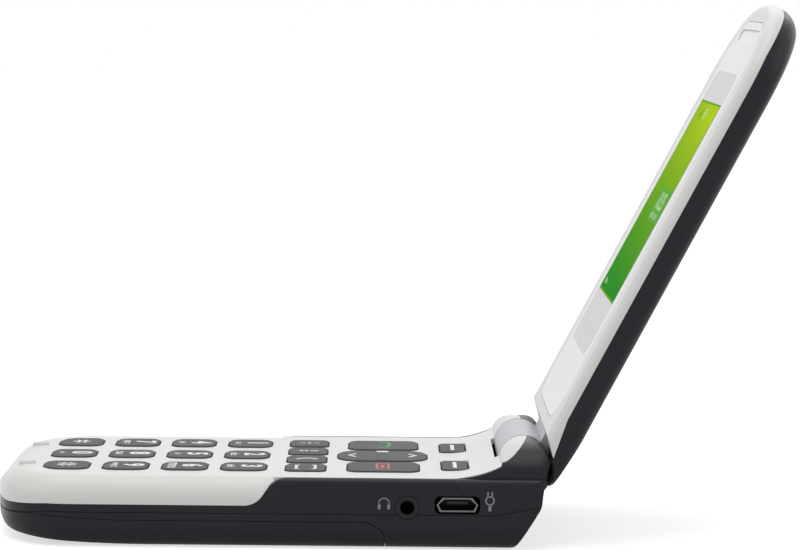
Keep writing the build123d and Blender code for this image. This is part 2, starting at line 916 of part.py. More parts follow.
# Battery contacts: a block under the board with three blades against the battery's end
with BuildPart() as battery_contacts:
    with BuildSketch(Plane.XY.offset(contact_height)):
        with Locations((bay_end_x + bay_wall + contact_depth / 2 - 0.7, 0)):
            Rectangle(contact_depth - 1.4 + bay_wall / 2, contact_width)
    extrude(amount=board_bottom - contact_height)
    with BuildSketch(Plane.XY.offset(contact_height + 0.4)):
        with Locations((bay_end_x + bay_wall / 2, 0)):
            with GridLocations(0, contact_width / 3, 1, 3):
                Rectangle(bay_wall + 2 * (bay_gap - press_gap), 1.4)
    extrude(amount=1.2)
save(battery_contacts.part, "battery_contacts")

# Card holder for the SIM, over the window in the deck
with BuildPart() as sim_socket:
    with BuildSketch(Plane.XY.offset(board_bottom - sim_thickness)):
        with Locations((battery_x + sim_offset, 0)):
            Rectangle(sim_length, sim_width)
    extrude(amount=sim_thickness)
    with BuildSketch(Plane.XY.offset(board_bottom - sim_thickness + 0.3)):
        with Locations((battery_x + sim_offset + 2.0, 0)):
            Rectangle(sim_length, sim_width - 2.0)
    extrude(amount=0.9, mode=Mode.SUBTRACT)
save(sim_socket.part, "sim_socket")

# Headphone jack: a ring in the side wall and its body under the board
jack_face = Plane.XZ.offset(half_width)
with BuildPart() as audio_jack:
    with BuildSketch(jack_face):
        with Locations(jack_at):
            Circle(jack_radius)
    extrude(amount=-(rail_width + 0.6))
    with BuildSketch(Plane.XZ.offset(rail_inner - 0.2)):
        with Locations((jack_at[0], (board_bottom + jack_at[1] - jack_block / 2 + 0.75) / 2)):
            Rectangle(jack_block, board_bottom - jack_at[1] + jack_block / 2 - 0.75)
    extrude(amount=-jack_depth)
    with BuildSketch(jack_face):
        with Locations(jack_at):
            Circle(jack_bore)
    extrude(amount=-jack_depth, mode=Mode.SUBTRACT)
save(audio_jack.part, "audio_jack")

# Micro USB shell: sheet metal tube with bevelled lower corners
usb_face = Plane.XZ.offset(half_width - usb_mouth)


def usb_outline(inset=0.0):
    """Mouth of the socket: wide in the middle, with its top corners cut further in."""
    width = usb_width / 2 - inset
    height = usb_height / 2 - inset
    with BuildSketch() as outline:
        with Locations(usb_at):
            Polygon(
                (usb_bevel - width, height),
                (-width, 0),
                (usb_bevel / 2 - width, -height),
                (width - usb_bevel / 2, -height),
                (width, 0),
                (width - usb_bevel, height),
                align=None,
            )
    return outline.sketch_local


with BuildPart() as usb_shell:
    with BuildSketch(usb_face):
        add(usb_outline())
    extrude(amount=-usb_depth)
    with BuildSketch(usb_face):
        add(usb_outline(usb_wall))
    extrude(amount=-(usb_depth - usb_wall), mode=Mode.SUBTRACT)
save(usb_shell.part, "usb_shell")

# Contact tongue inside the USB shell
with BuildPart() as usb_tongue:
    with BuildSketch(Plane.XZ.offset(half_width - usb_mouth - usb_depth + usb_wall)):
        with Locations((usb_at[0], usb_at[1] + 0.3)):
            Rectangle(usb_width * 0.5, 0.6)
    extrude(amount=usb_depth - usb_wall - 0.8)
save(usb_tongue.part, "usb_tongue")

# Loudspeaker over the slots in the rear housing
with BuildPart() as loudspeaker:
    with BuildSketch(Plane.XY.offset(wall)):
        with Locations(speaker_at):
            RectangleRounded(speaker_width, speaker_length, 2.0)
    extrude(amount=speaker_thickness)
save(loudspeaker.part, "loudspeaker")

# Microphone capsule behind its hole in the keypad end
mic_height = mic_hole_height + mic_radius - 2 * mic_hole_radius + 0.4
with BuildPart() as microphone:
    with BuildSketch(Plane.YZ.offset(keypad_end + rail_width + shell_gap + mic_inward)):
        with Locations((0, mic_height)):
            Circle(mic_radius)
    extrude(amount=mic_thickness)
save(microphone.part, "microphone")

# Vibration motor and its eccentric weight
motor_end_x = motor_at[0] + motor_length / 2
with BuildPart() as vibration_motor:
    with BuildSketch(Plane.YZ.offset(motor_at[0] - motor_length / 2)):
        with Locations((motor_at[1], motor_height)):
            Circle(motor_radius)
    extrude(amount=motor_length)
    with BuildSketch(Plane.YZ.offset(motor_end_x)):
        with Locations((motor_at[1], motor_height)):
            Circle(motor_radius / 5)
    extrude(amount=weight_gap + weight_length)
save(vibration_motor.part, "vibration_motor")

with BuildPart() as vibration_weight:
    with BuildSketch(Plane.YZ.offset(motor_end_x + weight_gap)):
        with Locations((motor_at[1], motor_height)):
            Circle(motor_radius - press_gap)
            with Locations((0, motor_radius + motor_radius / 4)):
                Rectangle(3 * motor_radius, 2 * motor_radius, mode=Mode.SUBTRACT)
            Circle(motor_radius / 2)
            Circle(motor_radius / 5 + running_gap, mode=Mode.SUBTRACT)
    extrude(amount=weight_length - press_gap)
save(vibration_weight.part, "vibration_weight")

# Antenna carrier by the keypad end
antenna_end = half_width - screw_first_inward - boss_radius - antenna_gap
with BuildPart() as antenna:
    with BuildSketch(Plane.XY.offset(deck_top + 0.1)):
        with Locations((board_start - antenna_width / 2 - 0.4, antenna_end - antenna_length / 2)):
            Rectangle(antenna_width, antenna_length)
    extrude(amount=board_top - deck_top - 0.1)
    fillet(antenna.edges().filter_by(Axis.Z), 0.6)
save(antenna.part, "antenna")

# Housing screws, put in from below
with BuildPart() as housing_screws:
    with BuildSketch(Plane.XY.offset(screw_seat - screw_head_height)):
        with Locations(screw_points):
            Circle(screw_head)
    extrude(amount=screw_head_height)
    with BuildSketch(Plane.XY.offset(screw_seat)):
        with Locations(screw_points):
            Circle(screw_radius)
    extrude(amount=screw_tip - screw_seat)
save(housing_screws.part, "housing_screws")

# Volume rocker in the far side wall, and the switches it presses
volume_face = Plane.XZ
volume_back = rail_inner - volume_play
with BuildPart() as volume_rocker:
    with BuildSketch(volume_face.offset(-(half_width + volume_proud))):
        add(volume_outline())
    extrude(amount=half_width + volume_proud - volume_back)
    with BuildSketch(volume_face.offset(-volume_back)):
        add(volume_outline(key_flange))
    extrude(amount=flange_thickness)
    with BuildSketch(volume_face.offset(-volume_back)):
        with Locations(volume_at):
            with GridLocations(2 * volume_length / 3, 0, 2, 1):
                Circle(plunger_radius / 2)
    extrude(amount=flange_thickness + 0.15)
save(volume_rocker.part, "volume_rocker")

switch_face = half_width - board_inset + press_gap
with BuildPart() as side_switches:
    with BuildSketch(volume_face.offset(-(switch_face + flex_thickness))):
        with Locations(volume_at):
            Rectangle(volume_length, volume_width)
    extrude(amount=flex_thickness)
    with BuildSketch(volume_face.offset(-(volume_back - flange_thickness - 0.4))):
        with Locations(volume_at):
            with GridLocations(2 * volume_length / 3, 0, 2, 1):
                Rectangle(2.4, volume_width - 0.4)
    extrude(amount=volume_back - flange_thickness - 0.4 - switch_face)
save(side_switches.part, "side_switches")

# Hinge shaft and pivot bush, held in the ears
ear_bore_end = ear_inner + ear_bore_depth
with BuildPart() as hinge_shaft:
    with BuildSketch(hinge_axis.offset(-ear_bore_end + press_gap)):
        Circle(bore_radius - running_gap)
    extrude(amount=ear_bore_depth - 2 * press_gap)
    with BuildSketch(hinge_axis.offset(-ear_inner - press_gap)):
        Circle(shaft_radius)
    extrude(amount=ear_gap + cartridge_length - shaft_end_gap)
save(hinge_shaft.part, "hinge_shaft")

with BuildPart() as pivot_bush:
    with BuildSketch(hinge_axis.offset(barrel_width / 2 - bush_reach)):
        Circle(bore_radius - running_gap)
        Circle(bore_radius - running_gap - bush_wall, mode=Mode.SUBTRACT)
    extrude(amount=bush_reach + ear_gap + ear_bore_depth - press_gap)
save(pivot_bush.part, "pivot_bush")

# Flexible circuit from the board, up through the ear, into the bush
with BuildPart() as base_flex:
    with BuildSketch(Plane.XZ.offset(ear_bore_end + 0.3)):
        with Locations((hinge_x - flex_run / 2, board_top + film_thickness + 0.1)):
            Rectangle(flex_run, flex_thickness)
        with Locations((hinge_x, (board_top + hinge_z + 1.6) / 2)):
            Rectangle(flex_thickness, hinge_z + 1.6 - board_top)
    extrude(amount=flex_width)
    with BuildSketch(Plane.XZ.offset(barrel_width / 2 - bush_reach + 0.5)):
        with Locations((hinge_x, hinge_z)):
            Rectangle(flex_thickness, 2.6)
    extrude(amount=bush_reach + ear_gap + ear_bore_depth)
save(base_flex.part, "base_flex")


# Lid. Its sketches run along the lid from the hinge axis, its depth from the inner face back


def lid_plan(inset=0.0):
    """Plan of the lid, drawn in all round by inset."""
    side = lid_width / 2 - inset
    end = lid_length - inset
    start = inset - lip_reach
    with BuildSketch() as plan:
        with BuildLine():
            bow = ThreePointArc((end - end_bow, -side), (end, 0), (end - end_bow, side))
            Polyline(bow @ 1, (start, side), (start, -side), bow @ 0)
        make_face()
        fillet(plan.vertices().group_by(Axis.X)[-1], lid_corner - inset)
        fillet(plan.vertices().group_by(Axis.X)[0], rear_corner - inset)
    return plan.sketch_local


def lid_border_points(lift=0.0):
    """Line between the white and the dark cover of the lid, seen from the side."""
    hinge_slope = (tip_depth - lid_border) / (border_from - tip_along)
    end_slope = lid_dip / (lid_length - lid_dip_from)
    return [
        (-border_from, lift - lid_border - 2 * border_from * hinge_slope),
        (border_from, lift - lid_border),
        (lid_dip_from, lift - lid_border),
        (2 * lid_dip_from, lift - lid_border - lid_dip_from * end_slope),
    ]


def window_plan(grow=0.0):
    """Outline of the display window."""
    with BuildSketch() as plan:
        with Locations(((window_start + window_end) / 2, 0)):
            Rectangle(window_end - window_start + 2 * grow, window_width + 2 * grow)
        fillet(plan.vertices().group_by(Axis.X)[0], window_round + grow)
        fillet(plan.vertices().group_by(Axis.X)[-1], window_end_round + grow)
    return plan.sketch_local


def screen_plan(grow=0.0):
    """Outline of the lit screen, grown on all sides."""
    with BuildSketch() as plan:
        with Locations((screen_start + screen_length / 2, 0)):
            Rectangle(screen_length + 2 * grow, screen_width + 2 * grow)
    return plan.sketch_local


def slot_plan(grow=0.0):
    """Outline of the earpiece slot."""
    with BuildSketch() as plan:
        with Locations((earpiece_at, 0)):
            SlotOverall(slot_length + 2 * grow, slot_width + 2 * grow, rotation=90)
    return plan.sketch_local


lid_screw_points = [
    (lid_screw_low, 7.6),
    (lid_screw_low, -7.6),
    (lid_length - lid_screw_high, 15.0),
    (lid_length - lid_screw_high, -15.0),
]
panel_depth = window_thickness + gasket_thickness
recess_depth = window_thickness + shell_gap / 2

with BuildPart() as lid_block:
    with BuildSketch(lid_face.offset(-lid_thickness)):
        add(lid_plan())
    extrude(amount=lid_thickness)
    fillet(lid_block.faces().sort_by(lid_depth_axis)[0].edges(), lid_back_round)
    fillet(lid_block.faces().sort_by(lid_depth_axis)[-1].edges(), lid_face_round)
    with BuildSketch(lid_side):
        Circle(swing_radius)
        Polygon(
            (face_start, 0),
            (face_start, 1),
            (-far, 1),
            (-far, -tip_depth),
            (tip_along, -tip_depth),
            align=None,
        )
        Polygon(
            (taper_from, -lid_thickness),
            (taper_to, -taper_depth),
            (-lip_reach, -lip_depth),
            (-far, -lip_depth),
            (-far, -far),
            (taper_from, -far),
            align=None,
        )
    extrude(amount=lid_width, both=True, mode=Mode.SUBTRACT)

with BuildPart() as lid_cavity:
    with BuildSketch(lid_face.offset(wall - lid_thickness)):
        add(lid_plan(wall))
        with Locations((hinge_solid - far / 2, 0)):
            Rectangle(far, far, mode=Mode.SUBTRACT)
    extrude(amount=lid_thickness - wall - lid_floor)

with BuildPart() as neck:
    with BuildSketch(lid_side):
        Polygon(
            (neck_start, -neck_front),
            (neck_end, -neck_front),
            (neck_end, -neck_front - neck_step),
            (neck_length, -neck_front - neck_step),
            (neck_length, -neck_back),
            (neck_start, -neck_back),
            align=None,
        )
    extrude(amount=barrel_width / 2, both=True)

with BuildPart() as neck_space:
    with BuildSketch(lid_side):
        with Locations(((neck_end - far) / 2 + shell_gap, -(neck_front + neck_back) / 2)):
            Rectangle(neck_end + far, neck_back - neck_front + 2 * shell_gap)
        with Locations(((hinge_solid + 1 - far) / 2, -(neck_front + neck_step + neck_back) / 2)):
            Rectangle(hinge_solid + 1 + far, neck_back - neck_front - neck_step + 2 * shell_gap)
    extrude(amount=barrel_width / 2 + shell_gap, both=True)

# Lid front cover: white frame round the window
with BuildPart() as lid_front_cover:
    add(lid_block)
    with BuildSketch(lid_side):
        add(side_region(lid_border_points(), frame_round, far))
    extrude(amount=lid_width, both=True, mode=Mode.INTERSECT)
    add(lid_cavity.part, mode=Mode.SUBTRACT)
    add(neck_space.part, mode=Mode.SUBTRACT)
    with BuildSketch(lid_face.offset(-lid_thickness)):
        with Locations((tip_along - far / 2, 0)):
            Rectangle(far, far)
    extrude(amount=far, mode=Mode.SUBTRACT)
    with BuildSketch(lid_face.offset(-recess_depth)):
        add(window_plan(window_gap))
    extrude(amount=far, mode=Mode.SUBTRACT)
    with BuildSketch(lid_face.offset(-lid_thickness)):
        add(screen_plan(panel_margin + 0.15))
        add(slot_plan())
        with Locations(lid_screw_points):
            Circle(lid_screw_radius + press_gap)
    extrude(amount=far, mode=Mode.SUBTRACT)
    with BuildSketch(lid_face.offset(-recess_depth - lid_screw_head_height - press_gap)):
        with Locations(lid_screw_points):
            Circle(lid_screw_head + 0.1)
    extrude(amount=far, mode=Mode.SUBTRACT)
save(lid_front_cover.part, "lid_front_cover")

# Lid back cover: dark shell with the screw bosses
with BuildPart() as lid_back_cover:
    add(lid_block)
    with BuildSketch(lid_side):
        add(side_region(lid_border_points(-shell_gap), frame_round, -far))
    extrude(amount=lid_width, both=True, mode=Mode.INTERSECT)
    add(lid_cavity.part, mode=Mode.SUBTRACT)
    add(neck_space.part, mode=Mode.SUBTRACT)
    with BuildSketch(lid_face.offset(-lid_thickness + wall / 2)):
        with Locations(lid_screw_points):
            Circle(lid_screw_radius + boss_wall)
    extrude(amount=lid_thickness - wall / 2 - neck_back - press_gap)
    with BuildSketch(lid_face.offset(-neck_back - 0.2)):
        with Locations(lid_screw_points[2:]):
            Circle(lid_screw_radius + boss_wall)
    extrude(amount=neck_back + 0.2 - lid_floor - press_gap)
    with BuildSketch(lid_face.offset(-lid_screw_depth - shell_gap)):
        with Locations(lid_screw_points):
            Circle(lid_screw_radius + thread_gap)
    extrude(amount=lid_screw_depth, mode=Mode.SUBTRACT)
    with BuildSketch(lid_face.offset(wall / 2 - lid_thickness)):
        with Locations(((lid_board_start + lid_board_end) / 2, 0)):
            with GridLocations(lid_board_end - lid_board_start - 8, lid_board_width - 8, 2, 2):
                Circle(1.5)
    extrude(amount=lid_thickness - wall / 2 - lid_board_depth - lid_board_thickness)
save(lid_back_cover.part, "lid_back_cover")

# Display window: one clear lens with a printed surround
with BuildPart() as display_window:
    with BuildSketch(lid_face.offset(-window_thickness)):
        add(window_plan())
        add(slot_plan(), mode=Mode.SUBTRACT)
    extrude(amount=window_thickness)
save(display_window.part, "display_window")

# Foam gasket between the window and the panel
with BuildPart() as display_gasket:
    with BuildSketch(lid_face.offset(-panel_depth)):
        add(screen_plan(panel_margin - 0.2))
        add(screen_plan(0.4), mode=Mode.SUBTRACT)
    extrude(amount=gasket_thickness)
save(display_gasket.part, "display_gasket")

# Display panel
with BuildPart() as display_panel:
    with BuildSketch(lid_face.offset(-panel_depth - panel_thickness)):
        add(screen_plan(panel_margin))
    extrude(amount=panel_thickness)
save(display_panel.part, "display_panel")

# Metal tray that holds the panel
with BuildPart() as display_tray:
    with BuildSketch(lid_face.offset(-tray_depth - tray_wall)):
        add(screen_plan(panel_margin + shell_gap + tray_wall))
    extrude(amount=tray_depth + tray_wall - lid_floor - shell_gap)
    with BuildSketch(lid_face.offset(-tray_depth)):
        add(screen_plan(panel_margin + shell_gap))
    extrude(amount=tray_depth, mode=Mode.SUBTRACT)
save(display_tray.part, "display_tray")

# Lid circuit board with the connector for the flexible circuit
with BuildPart() as lid_board:
    with BuildSketch(lid_face.offset(-lid_board_depth - lid_board_thickness)):
        with Locations(((lid_board_start + lid_board_end) / 2, 0)):
            Rectangle(lid_board_end - lid_board_start, lid_board_width)
    extrude(amount=lid_board_thickness)
    with BuildSketch(lid_face.offset(-lid_board_depth)):
        with Locations((lid_board_start + connector_length / 2, -flex_side)):
            Rectangle(connector_length, 2 * flex_width)
    extrude(amount=lid_board_depth - lid_flex_depth - flex_thickness)
save(lid_board.part, "lid_board")

# Earpiece capsule under the slot, and the mesh in the slot
with BuildPart() as earpiece:
    with BuildSketch(lid_face.offset(-lid_floor - press_gap - earpiece_thickness)):
        with Locations((earpiece_at, 0)):
            RectangleRounded(earpiece_length, earpiece_width, 2.0)
    extrude(amount=earpiece_thickness)
save(earpiece.part, "earpiece")

with BuildPart() as earpiece_mesh:
    with BuildSketch(lid_face.offset(-mesh_depth - mesh_thickness)):
        add(slot_plan(-press_gap))
    extrude(amount=mesh_thickness)
save(earpiece_mesh.part, "earpiece_mesh")

# Hinge barrel with the neck that is screwed into the lid
with BuildPart() as hinge_barrel:
    add(neck)
    with BuildSketch(lid_side):
        Circle(ear_radius)
    extrude(amount=barrel_width / 2, both=True)
    with BuildSketch(lid_side):
        Circle(bore_radius)
    extrude(amount=barrel_width / 2, both=True, mode=Mode.SUBTRACT)
    with BuildSketch(lid_side.offset(flex_side - flex_width)):
        with Locations((far / 2, -(flex_slot_low + flex_slot_high) / 2)):
            Rectangle(far, flex_slot_low - flex_slot_high)
    extrude(amount=2 * flex_width, mode=Mode.SUBTRACT)
    with BuildSketch(lid_face.offset(-lid_thickness)):
        with Locations(lid_screw_points[:2]):
            Circle(lid_screw_radius + press_gap)
    extrude(amount=far, mode=Mode.SUBTRACT)
save(hinge_barrel.part, "hinge_barrel")

# Hinge cartridge: the can with the spring and cam, pressed into the barrel
with BuildPart() as hinge_cartridge:
    with BuildSketch(lid_side.offset(-barrel_width / 2 + ear_gap / 2)):
        Circle(bore_radius - running_gap / 2)
    extrude(amount=cartridge_length - ear_gap)
    with BuildSketch(lid_side.offset(-barrel_width / 2)):
        Circle(shaft_radius + running_gap)
    extrude(amount=cartridge_length - shaft_end_gap + press_gap, mode=Mode.SUBTRACT)
save(hinge_cartridge.part, "hinge_cartridge")

# Flexible circuit of the lid: a turn round the axis in the barrel and a strip to the board
with BuildPart() as lid_flex:
    with BuildSketch(lid_side.offset(flex_side - flex_width + key_gap)):
        Circle(lid_flex_depth)
        Circle(lid_flex_depth - flex_thickness, mode=Mode.SUBTRACT)
        with Locations((lid_flex_depth, 0)):
            Rectangle(2 * lid_flex_depth, 2 * lid_flex_depth, mode=Mode.SUBTRACT)
        with Locations(((lid_board_start + connector_length) / 2, flex_thickness / 2 - lid_flex_depth)):
            Rectangle(lid_board_start + connector_length, flex_thickness)
    extrude(amount=2 * (flex_width - key_gap))
save(lid_flex.part, "lid_flex")

# Magnet that tells the base the lid is closed
with BuildPart() as closing_magnet:
    with BuildSketch(lid_face.offset(-lid_floor - press_gap - magnet_thickness)):
        with Locations((magnet_along, -magnet_side)):
            Circle(magnet_radius)
    extrude(amount=magnet_thickness)
save(closing_magnet.part, "closing_magnet")

# Lid screws, hidden under the window
with BuildPart() as lid_screws:
    with BuildSketch(lid_face.offset(-recess_depth - lid_screw_head_height)):
        with Locations(lid_screw_points):
            Circle(lid_screw_head)
    extrude(amount=lid_screw_head_height)
    with BuildSketch(lid_face.offset(-lid_screw_depth)):
        with Locations(lid_screw_points):
            Circle(lid_screw_radius)
    extrude(amount=lid_screw_depth - recess_depth - lid_screw_head_height)
save(lid_screws.part, "lid_screws")
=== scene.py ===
import json
from math import cos, radians, sin

import bpy
import numpy as np
from mathutils import Matrix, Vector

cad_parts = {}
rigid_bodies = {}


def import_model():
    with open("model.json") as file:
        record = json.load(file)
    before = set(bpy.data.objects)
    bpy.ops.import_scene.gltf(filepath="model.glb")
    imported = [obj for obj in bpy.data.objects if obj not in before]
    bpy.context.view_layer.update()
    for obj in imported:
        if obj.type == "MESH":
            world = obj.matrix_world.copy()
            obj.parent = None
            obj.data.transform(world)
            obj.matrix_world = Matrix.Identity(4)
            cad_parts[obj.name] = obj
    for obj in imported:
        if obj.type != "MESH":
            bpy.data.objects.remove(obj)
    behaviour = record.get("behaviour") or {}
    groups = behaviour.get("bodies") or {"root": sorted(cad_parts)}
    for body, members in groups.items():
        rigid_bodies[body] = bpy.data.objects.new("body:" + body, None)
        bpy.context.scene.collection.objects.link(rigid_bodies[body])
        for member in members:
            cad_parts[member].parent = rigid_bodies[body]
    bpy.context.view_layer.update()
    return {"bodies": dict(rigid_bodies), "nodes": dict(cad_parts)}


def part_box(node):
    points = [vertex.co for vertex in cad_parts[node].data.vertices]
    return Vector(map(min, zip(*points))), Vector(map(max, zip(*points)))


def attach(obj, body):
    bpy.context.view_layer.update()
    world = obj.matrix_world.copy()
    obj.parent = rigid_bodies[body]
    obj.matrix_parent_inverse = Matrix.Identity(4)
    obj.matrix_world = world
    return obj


# A flip phone, open on a pale table and seen from its right side. +X runs from the keypad end
# to the hinge, +Y to the user's left and +Z up. The scene is in metres; MM is a millimetre.
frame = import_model()
nodes = frame["nodes"]
MM = 0.001


# The camera stands half a metre off on the right of the phone and low over the table, with a
# long lens, and is rolled by half a degree to match the photograph.
camera_target = np.array([23.6, 0.0, 47.4]) * MM
camera_distance = 549.43 * MM
camera_azimuth, camera_elevation, camera_roll = radians(-0.33), radians(5.55), radians(0.61)
camera_lens, camera_sensor = 131.73, 36.0
camera_near_limit = 0.01


def standing(right, up, back, point):
    """Place of a camera or lamp: its right, up and back directions as columns, then its point."""
    place = np.eye(4)
    place[:3, 0], place[:3, 1], place[:3, 2], place[:3, 3] = right, up, back, point
    return Matrix(place.tolist())


camera_back = np.array(
    [
        sin(camera_azimuth) * cos(camera_elevation),
        -cos(camera_azimuth) * cos(camera_elevation),
        sin(camera_elevation),
    ]
)
level_right = np.array([cos(camera_azimuth), sin(camera_azimuth), 0.0])
level_up = np.cross(camera_back, level_right)
camera_right = cos(camera_roll) * level_right + sin(camera_roll) * level_up
camera_up = cos(camera_roll) * level_up - sin(camera_roll) * level_right
camera_data = bpy.data.cameras.new("camera")
camera_data.sensor_width = camera_sensor
camera_data.lens = camera_lens
camera_data.clip_start = camera_near_limit
camera = bpy.data.objects.new("camera", camera_data)
camera.matrix_world = standing(
    camera_right, camera_up, camera_back, camera_target + camera_distance * camera_back
)
bpy.context.scene.collection.objects.link(camera)
bpy.context.scene.camera = camera
bpy.context.scene.view_settings.view_transform = "Standard"


# The table top and the light: a pale sweep under a white surround, with four soft lamps. The
# floor glows, less near the phone, where its own colour catches the lamps and the shadow.
white = (1.0, 1.0, 1.0, 1.0)
floor_half = 3.0
floor_colour = (0.70, 0.70, 0.70, 1.0)
floor_roughness = 0.9
floor_near, floor_far = 0.12, 0.50
floor_glow = 0.64
floor_in_gloss = 0.5
surround_level = 0.50
lamps = [
    ("lamp_above", (-0.10, -0.05, 0.95), 0.8, 3.4),
    ("lamp_left", (-0.70, -0.50, 0.50), 0.6, 1.0),
    ("lamp_right", (0.80, -0.30, 0.45), 0.6, 0.9),
    ("lamp_back", (0.15, 0.90, 0.70), 0.8, 1.2),
]


def feed(tree, inputs, values):
    """Gives each of these inputs its value, or a link where the value is a node's output."""
    for socket, value in values.items():
        if isinstance(value, bpy.types.NodeSocket):
            tree.links.new(value, inputs[socket])
        else:
            inputs[socket].default_value = value


def add_node(tree, kind, values=None, **settings):
    """New shader node with these settings, and its inputs fed."""
    node = tree.nodes.new("ShaderNode" + kind)
    for setting, value in settings.items():
        setattr(node, setting, value)
    feed(tree, node.inputs, values or {})
    return node


def math_node(tree, operation, *values):
    """Result of one sum, on numbers or on nodes' outputs."""
    return add_node(tree, "Math", dict(enumerate(values)), operation=operation).outputs[0]


def map_range(tree, value, start, end, low=0.0, high=1.0):
    """Value carried in a straight line from start and end to low and high, and held there."""
    limits = {"From Min": start, "From Max": end, "To Min": low, "To Max": high}
    return add_node(tree, "MapRange", {"Value": value, **limits}).outputs["Result"]


def new_material(name):
    """Material with a plain shader: the material, its node tree and the shader's inputs."""
    material = bpy.data.materials.new(name)
    material.use_nodes = True
    tree = material.node_tree
    return material, tree, tree.nodes["Principled BSDF"].inputs


def seen_directly(tree, in_gloss=1.0):
    """The most of three: 1 for rays from the camera, 1 through glass, in_gloss off gloss."""
    path = add_node(tree, "LightPath").outputs
    gloss = math_node(tree, "MULTIPLY", path["Is Glossy Ray"], in_gloss)
    direct = math_node(tree, "MAXIMUM", path["Is Camera Ray"], path["Is Transmission Ray"])
    return math_node(tree, "MAXIMUM", direct, gloss)


def flat_mesh(name, corners, faces):
    """Object of a mesh with these corners and faces, in the scene."""
    mesh = bpy.data.meshes.new(name)
    mesh.from_pydata(np.asarray(corners, float).tolist(), [], faces)
    mesh.update()
    obj = bpy.data.objects.new(name, mesh)
    bpy.context.scene.collection.objects.link(obj)
    return obj


floor = flat_mesh(
    "floor",
    [(x * floor_half, y * floor_half, 0.0) for x, y in ((-1, -1), (1, -1), (1, 1), (-1, 1))],
    [(0, 1, 2, 3)],
)
floor_material, tree, shader = new_material("pale_floor")
place = add_node(tree, "TexCoord").outputs["Object"]
distance = add_node(tree, "VectorMath", {0: place}, operation="LENGTH").outputs["Value"]
glow = map_range(tree, distance, floor_near, floor_far, floor_glow, 1.0)
seen = seen_directly(tree, floor_in_gloss)
feed(
    tree, shader,
    {
        "Base Color": floor_colour,
        "Roughness": floor_roughness,
        "Specular IOR Level": 0.0,
        "Emission Color": white,
        "Emission Strength": math_node(tree, "MULTIPLY", seen, glow),
    },
)
floor.data.materials.append(floor_material)

world = bpy.data.worlds.new("surround")
world.use_nodes = True
bpy.context.scene.world = world
tree = world.node_tree
level = map_range(tree, seen_directly(tree), 0.0, 1.0, surround_level, 1.0)
feed(tree, tree.nodes["Background"].inputs, {"Color": white, "Strength": level})

for lamp_name, point, size, power in lamps:
    lamp_data = bpy.data.lights.new(lamp_name, "AREA")
    lamp_data.size = size
    lamp_data.energy = power
    lamp = bpy.data.objects.new(lamp_name, lamp_data)
    aim = np.array(point) - camera_target
    aim = aim / np.linalg.norm(aim)
    across = np.cross((0.0, 0.0, 1.0), aim)
    across = across / np.linalg.norm(across)
    lamp.matrix_world = standing(across, np.cross(aim, across), aim, point)
    bpy.context.scene.collection.objects.link(lamp)


# The two white covers: smooth glossy mouldings, the keypad face and the frame round the
# window. The plastic has a faint unevenness of tone and a fine skin that softens the gloss.
white_colour = (0.76, 0.76, 0.74)
white_shade = (0.72, 0.72, 0.70)
blotch_scale, blotch_detail = 55.0, 3.0
roughness_wander = 0.05
grain_detail, grain_strength = 2.0, 0.3


def mix_colours(tree, mask, first, second):
    """Colour that goes from the first to the second as the mask goes from 0 to 1."""
    values = {"Factor": mask, "A": first, "B": second}
    return add_node(tree, "Mix", values, data_type="RGBA").outputs["Result"]


def new_group(name, inputs, outputs):
    """Shader node group with named sockets: each input is a name, a kind and a start value."""
    group = bpy.data.node_groups.new(name, "ShaderNodeTree")
    for label, kind, start in inputs:
        socket = group.interface.new_socket(label, in_out="INPUT", socket_type=kind)
        socket.default_value = start
    for label, kind in outputs:
        group.interface.new_socket(label, in_out="OUTPUT", socket_type=kind)
    entry = group.nodes.new("NodeGroupInput")
    leave = group.nodes.new("NodeGroupOutput")
    return group, entry.outputs, leave.inputs


def moulded_skin():
    """Group for moulded plastic: two tones mixed by a slow noise, a roughness that wanders a
    little about its middle, and a fine grain for the bump's height."""
    group, entry, leave = new_group(
        "moulded_skin",
        [
            ("Colour", "NodeSocketColor", (0.8, 0.8, 0.8, 1.0)),
            ("Shade", "NodeSocketColor", (0.7, 0.7, 0.7, 1.0)),
            ("Roughness", "NodeSocketFloat", 0.35),
            ("Grain Scale", "NodeSocketFloat", 4000.0),
        ],
        [
            ("Colour", "NodeSocketColor"),
            ("Roughness", "NodeSocketFloat"),
            ("Height", "NodeSocketFloat"),
        ],
    )
    place = add_node(group, "TexCoord").outputs["Object"]
    blotch = {"Vector": place, "Scale": blotch_scale, "Detail": blotch_detail}
    slow = add_node(group, "TexNoise", blotch).outputs["Fac"]
    wander = map_range(group, slow, 0.0, 1.0, -roughness_wander, roughness_wander)
    fine = {"Vector": place, "Scale": entry["Grain Scale"], "Detail": grain_detail}
    feed(
        group, leave,
        {
            "Colour": mix_colours(group, slow, entry["Colour"], entry["Shade"]),
            "Roughness": math_node(group, "ADD", entry["Roughness"], wander),
            "Height": add_node(group, "TexNoise", fine).outputs["Fac"],
        },
    )
    return group


skin_group = moulded_skin()


def moulded_plastic(name, colour, shade, roughness, grain_scale, grain_depth, gloss=0.5):
    """Material of a moulded plastic, from the skin group and a bump of the grain's height."""
    material, tree, shader = new_material(name)
    values = {
        "Colour": (*colour, 1.0),
        "Shade": (*shade, 1.0),
        "Roughness": roughness,
        "Grain Scale": grain_scale,
    }
    skin = add_node(tree, "Group", values, node_tree=skin_group).outputs
    height = {"Strength": grain_strength, "Distance": grain_depth, "Height": skin["Height"]}
    feed(
        tree, shader,
        {
            "Base Color": skin["Colour"],
            "Roughness": skin["Roughness"],
            "Specular IOR Level": gloss,
            "Normal": add_node(tree, "Bump", height).outputs["Normal"],
        },
    )
    return material


def dress(material, *names):
    """Gives the CAD nodes of these names one material."""
    for name in names:
        mesh = nodes[name].data
        mesh.materials.clear()
        mesh.materials.append(material)


white_plastic = moulded_plastic(
    "white_plastic", white_colour, white_shade, 0.34, 5200.0, 0.004 * MM, gloss=0.35
)
dress(white_plastic, "base_front_cover", "lid_front_cover")


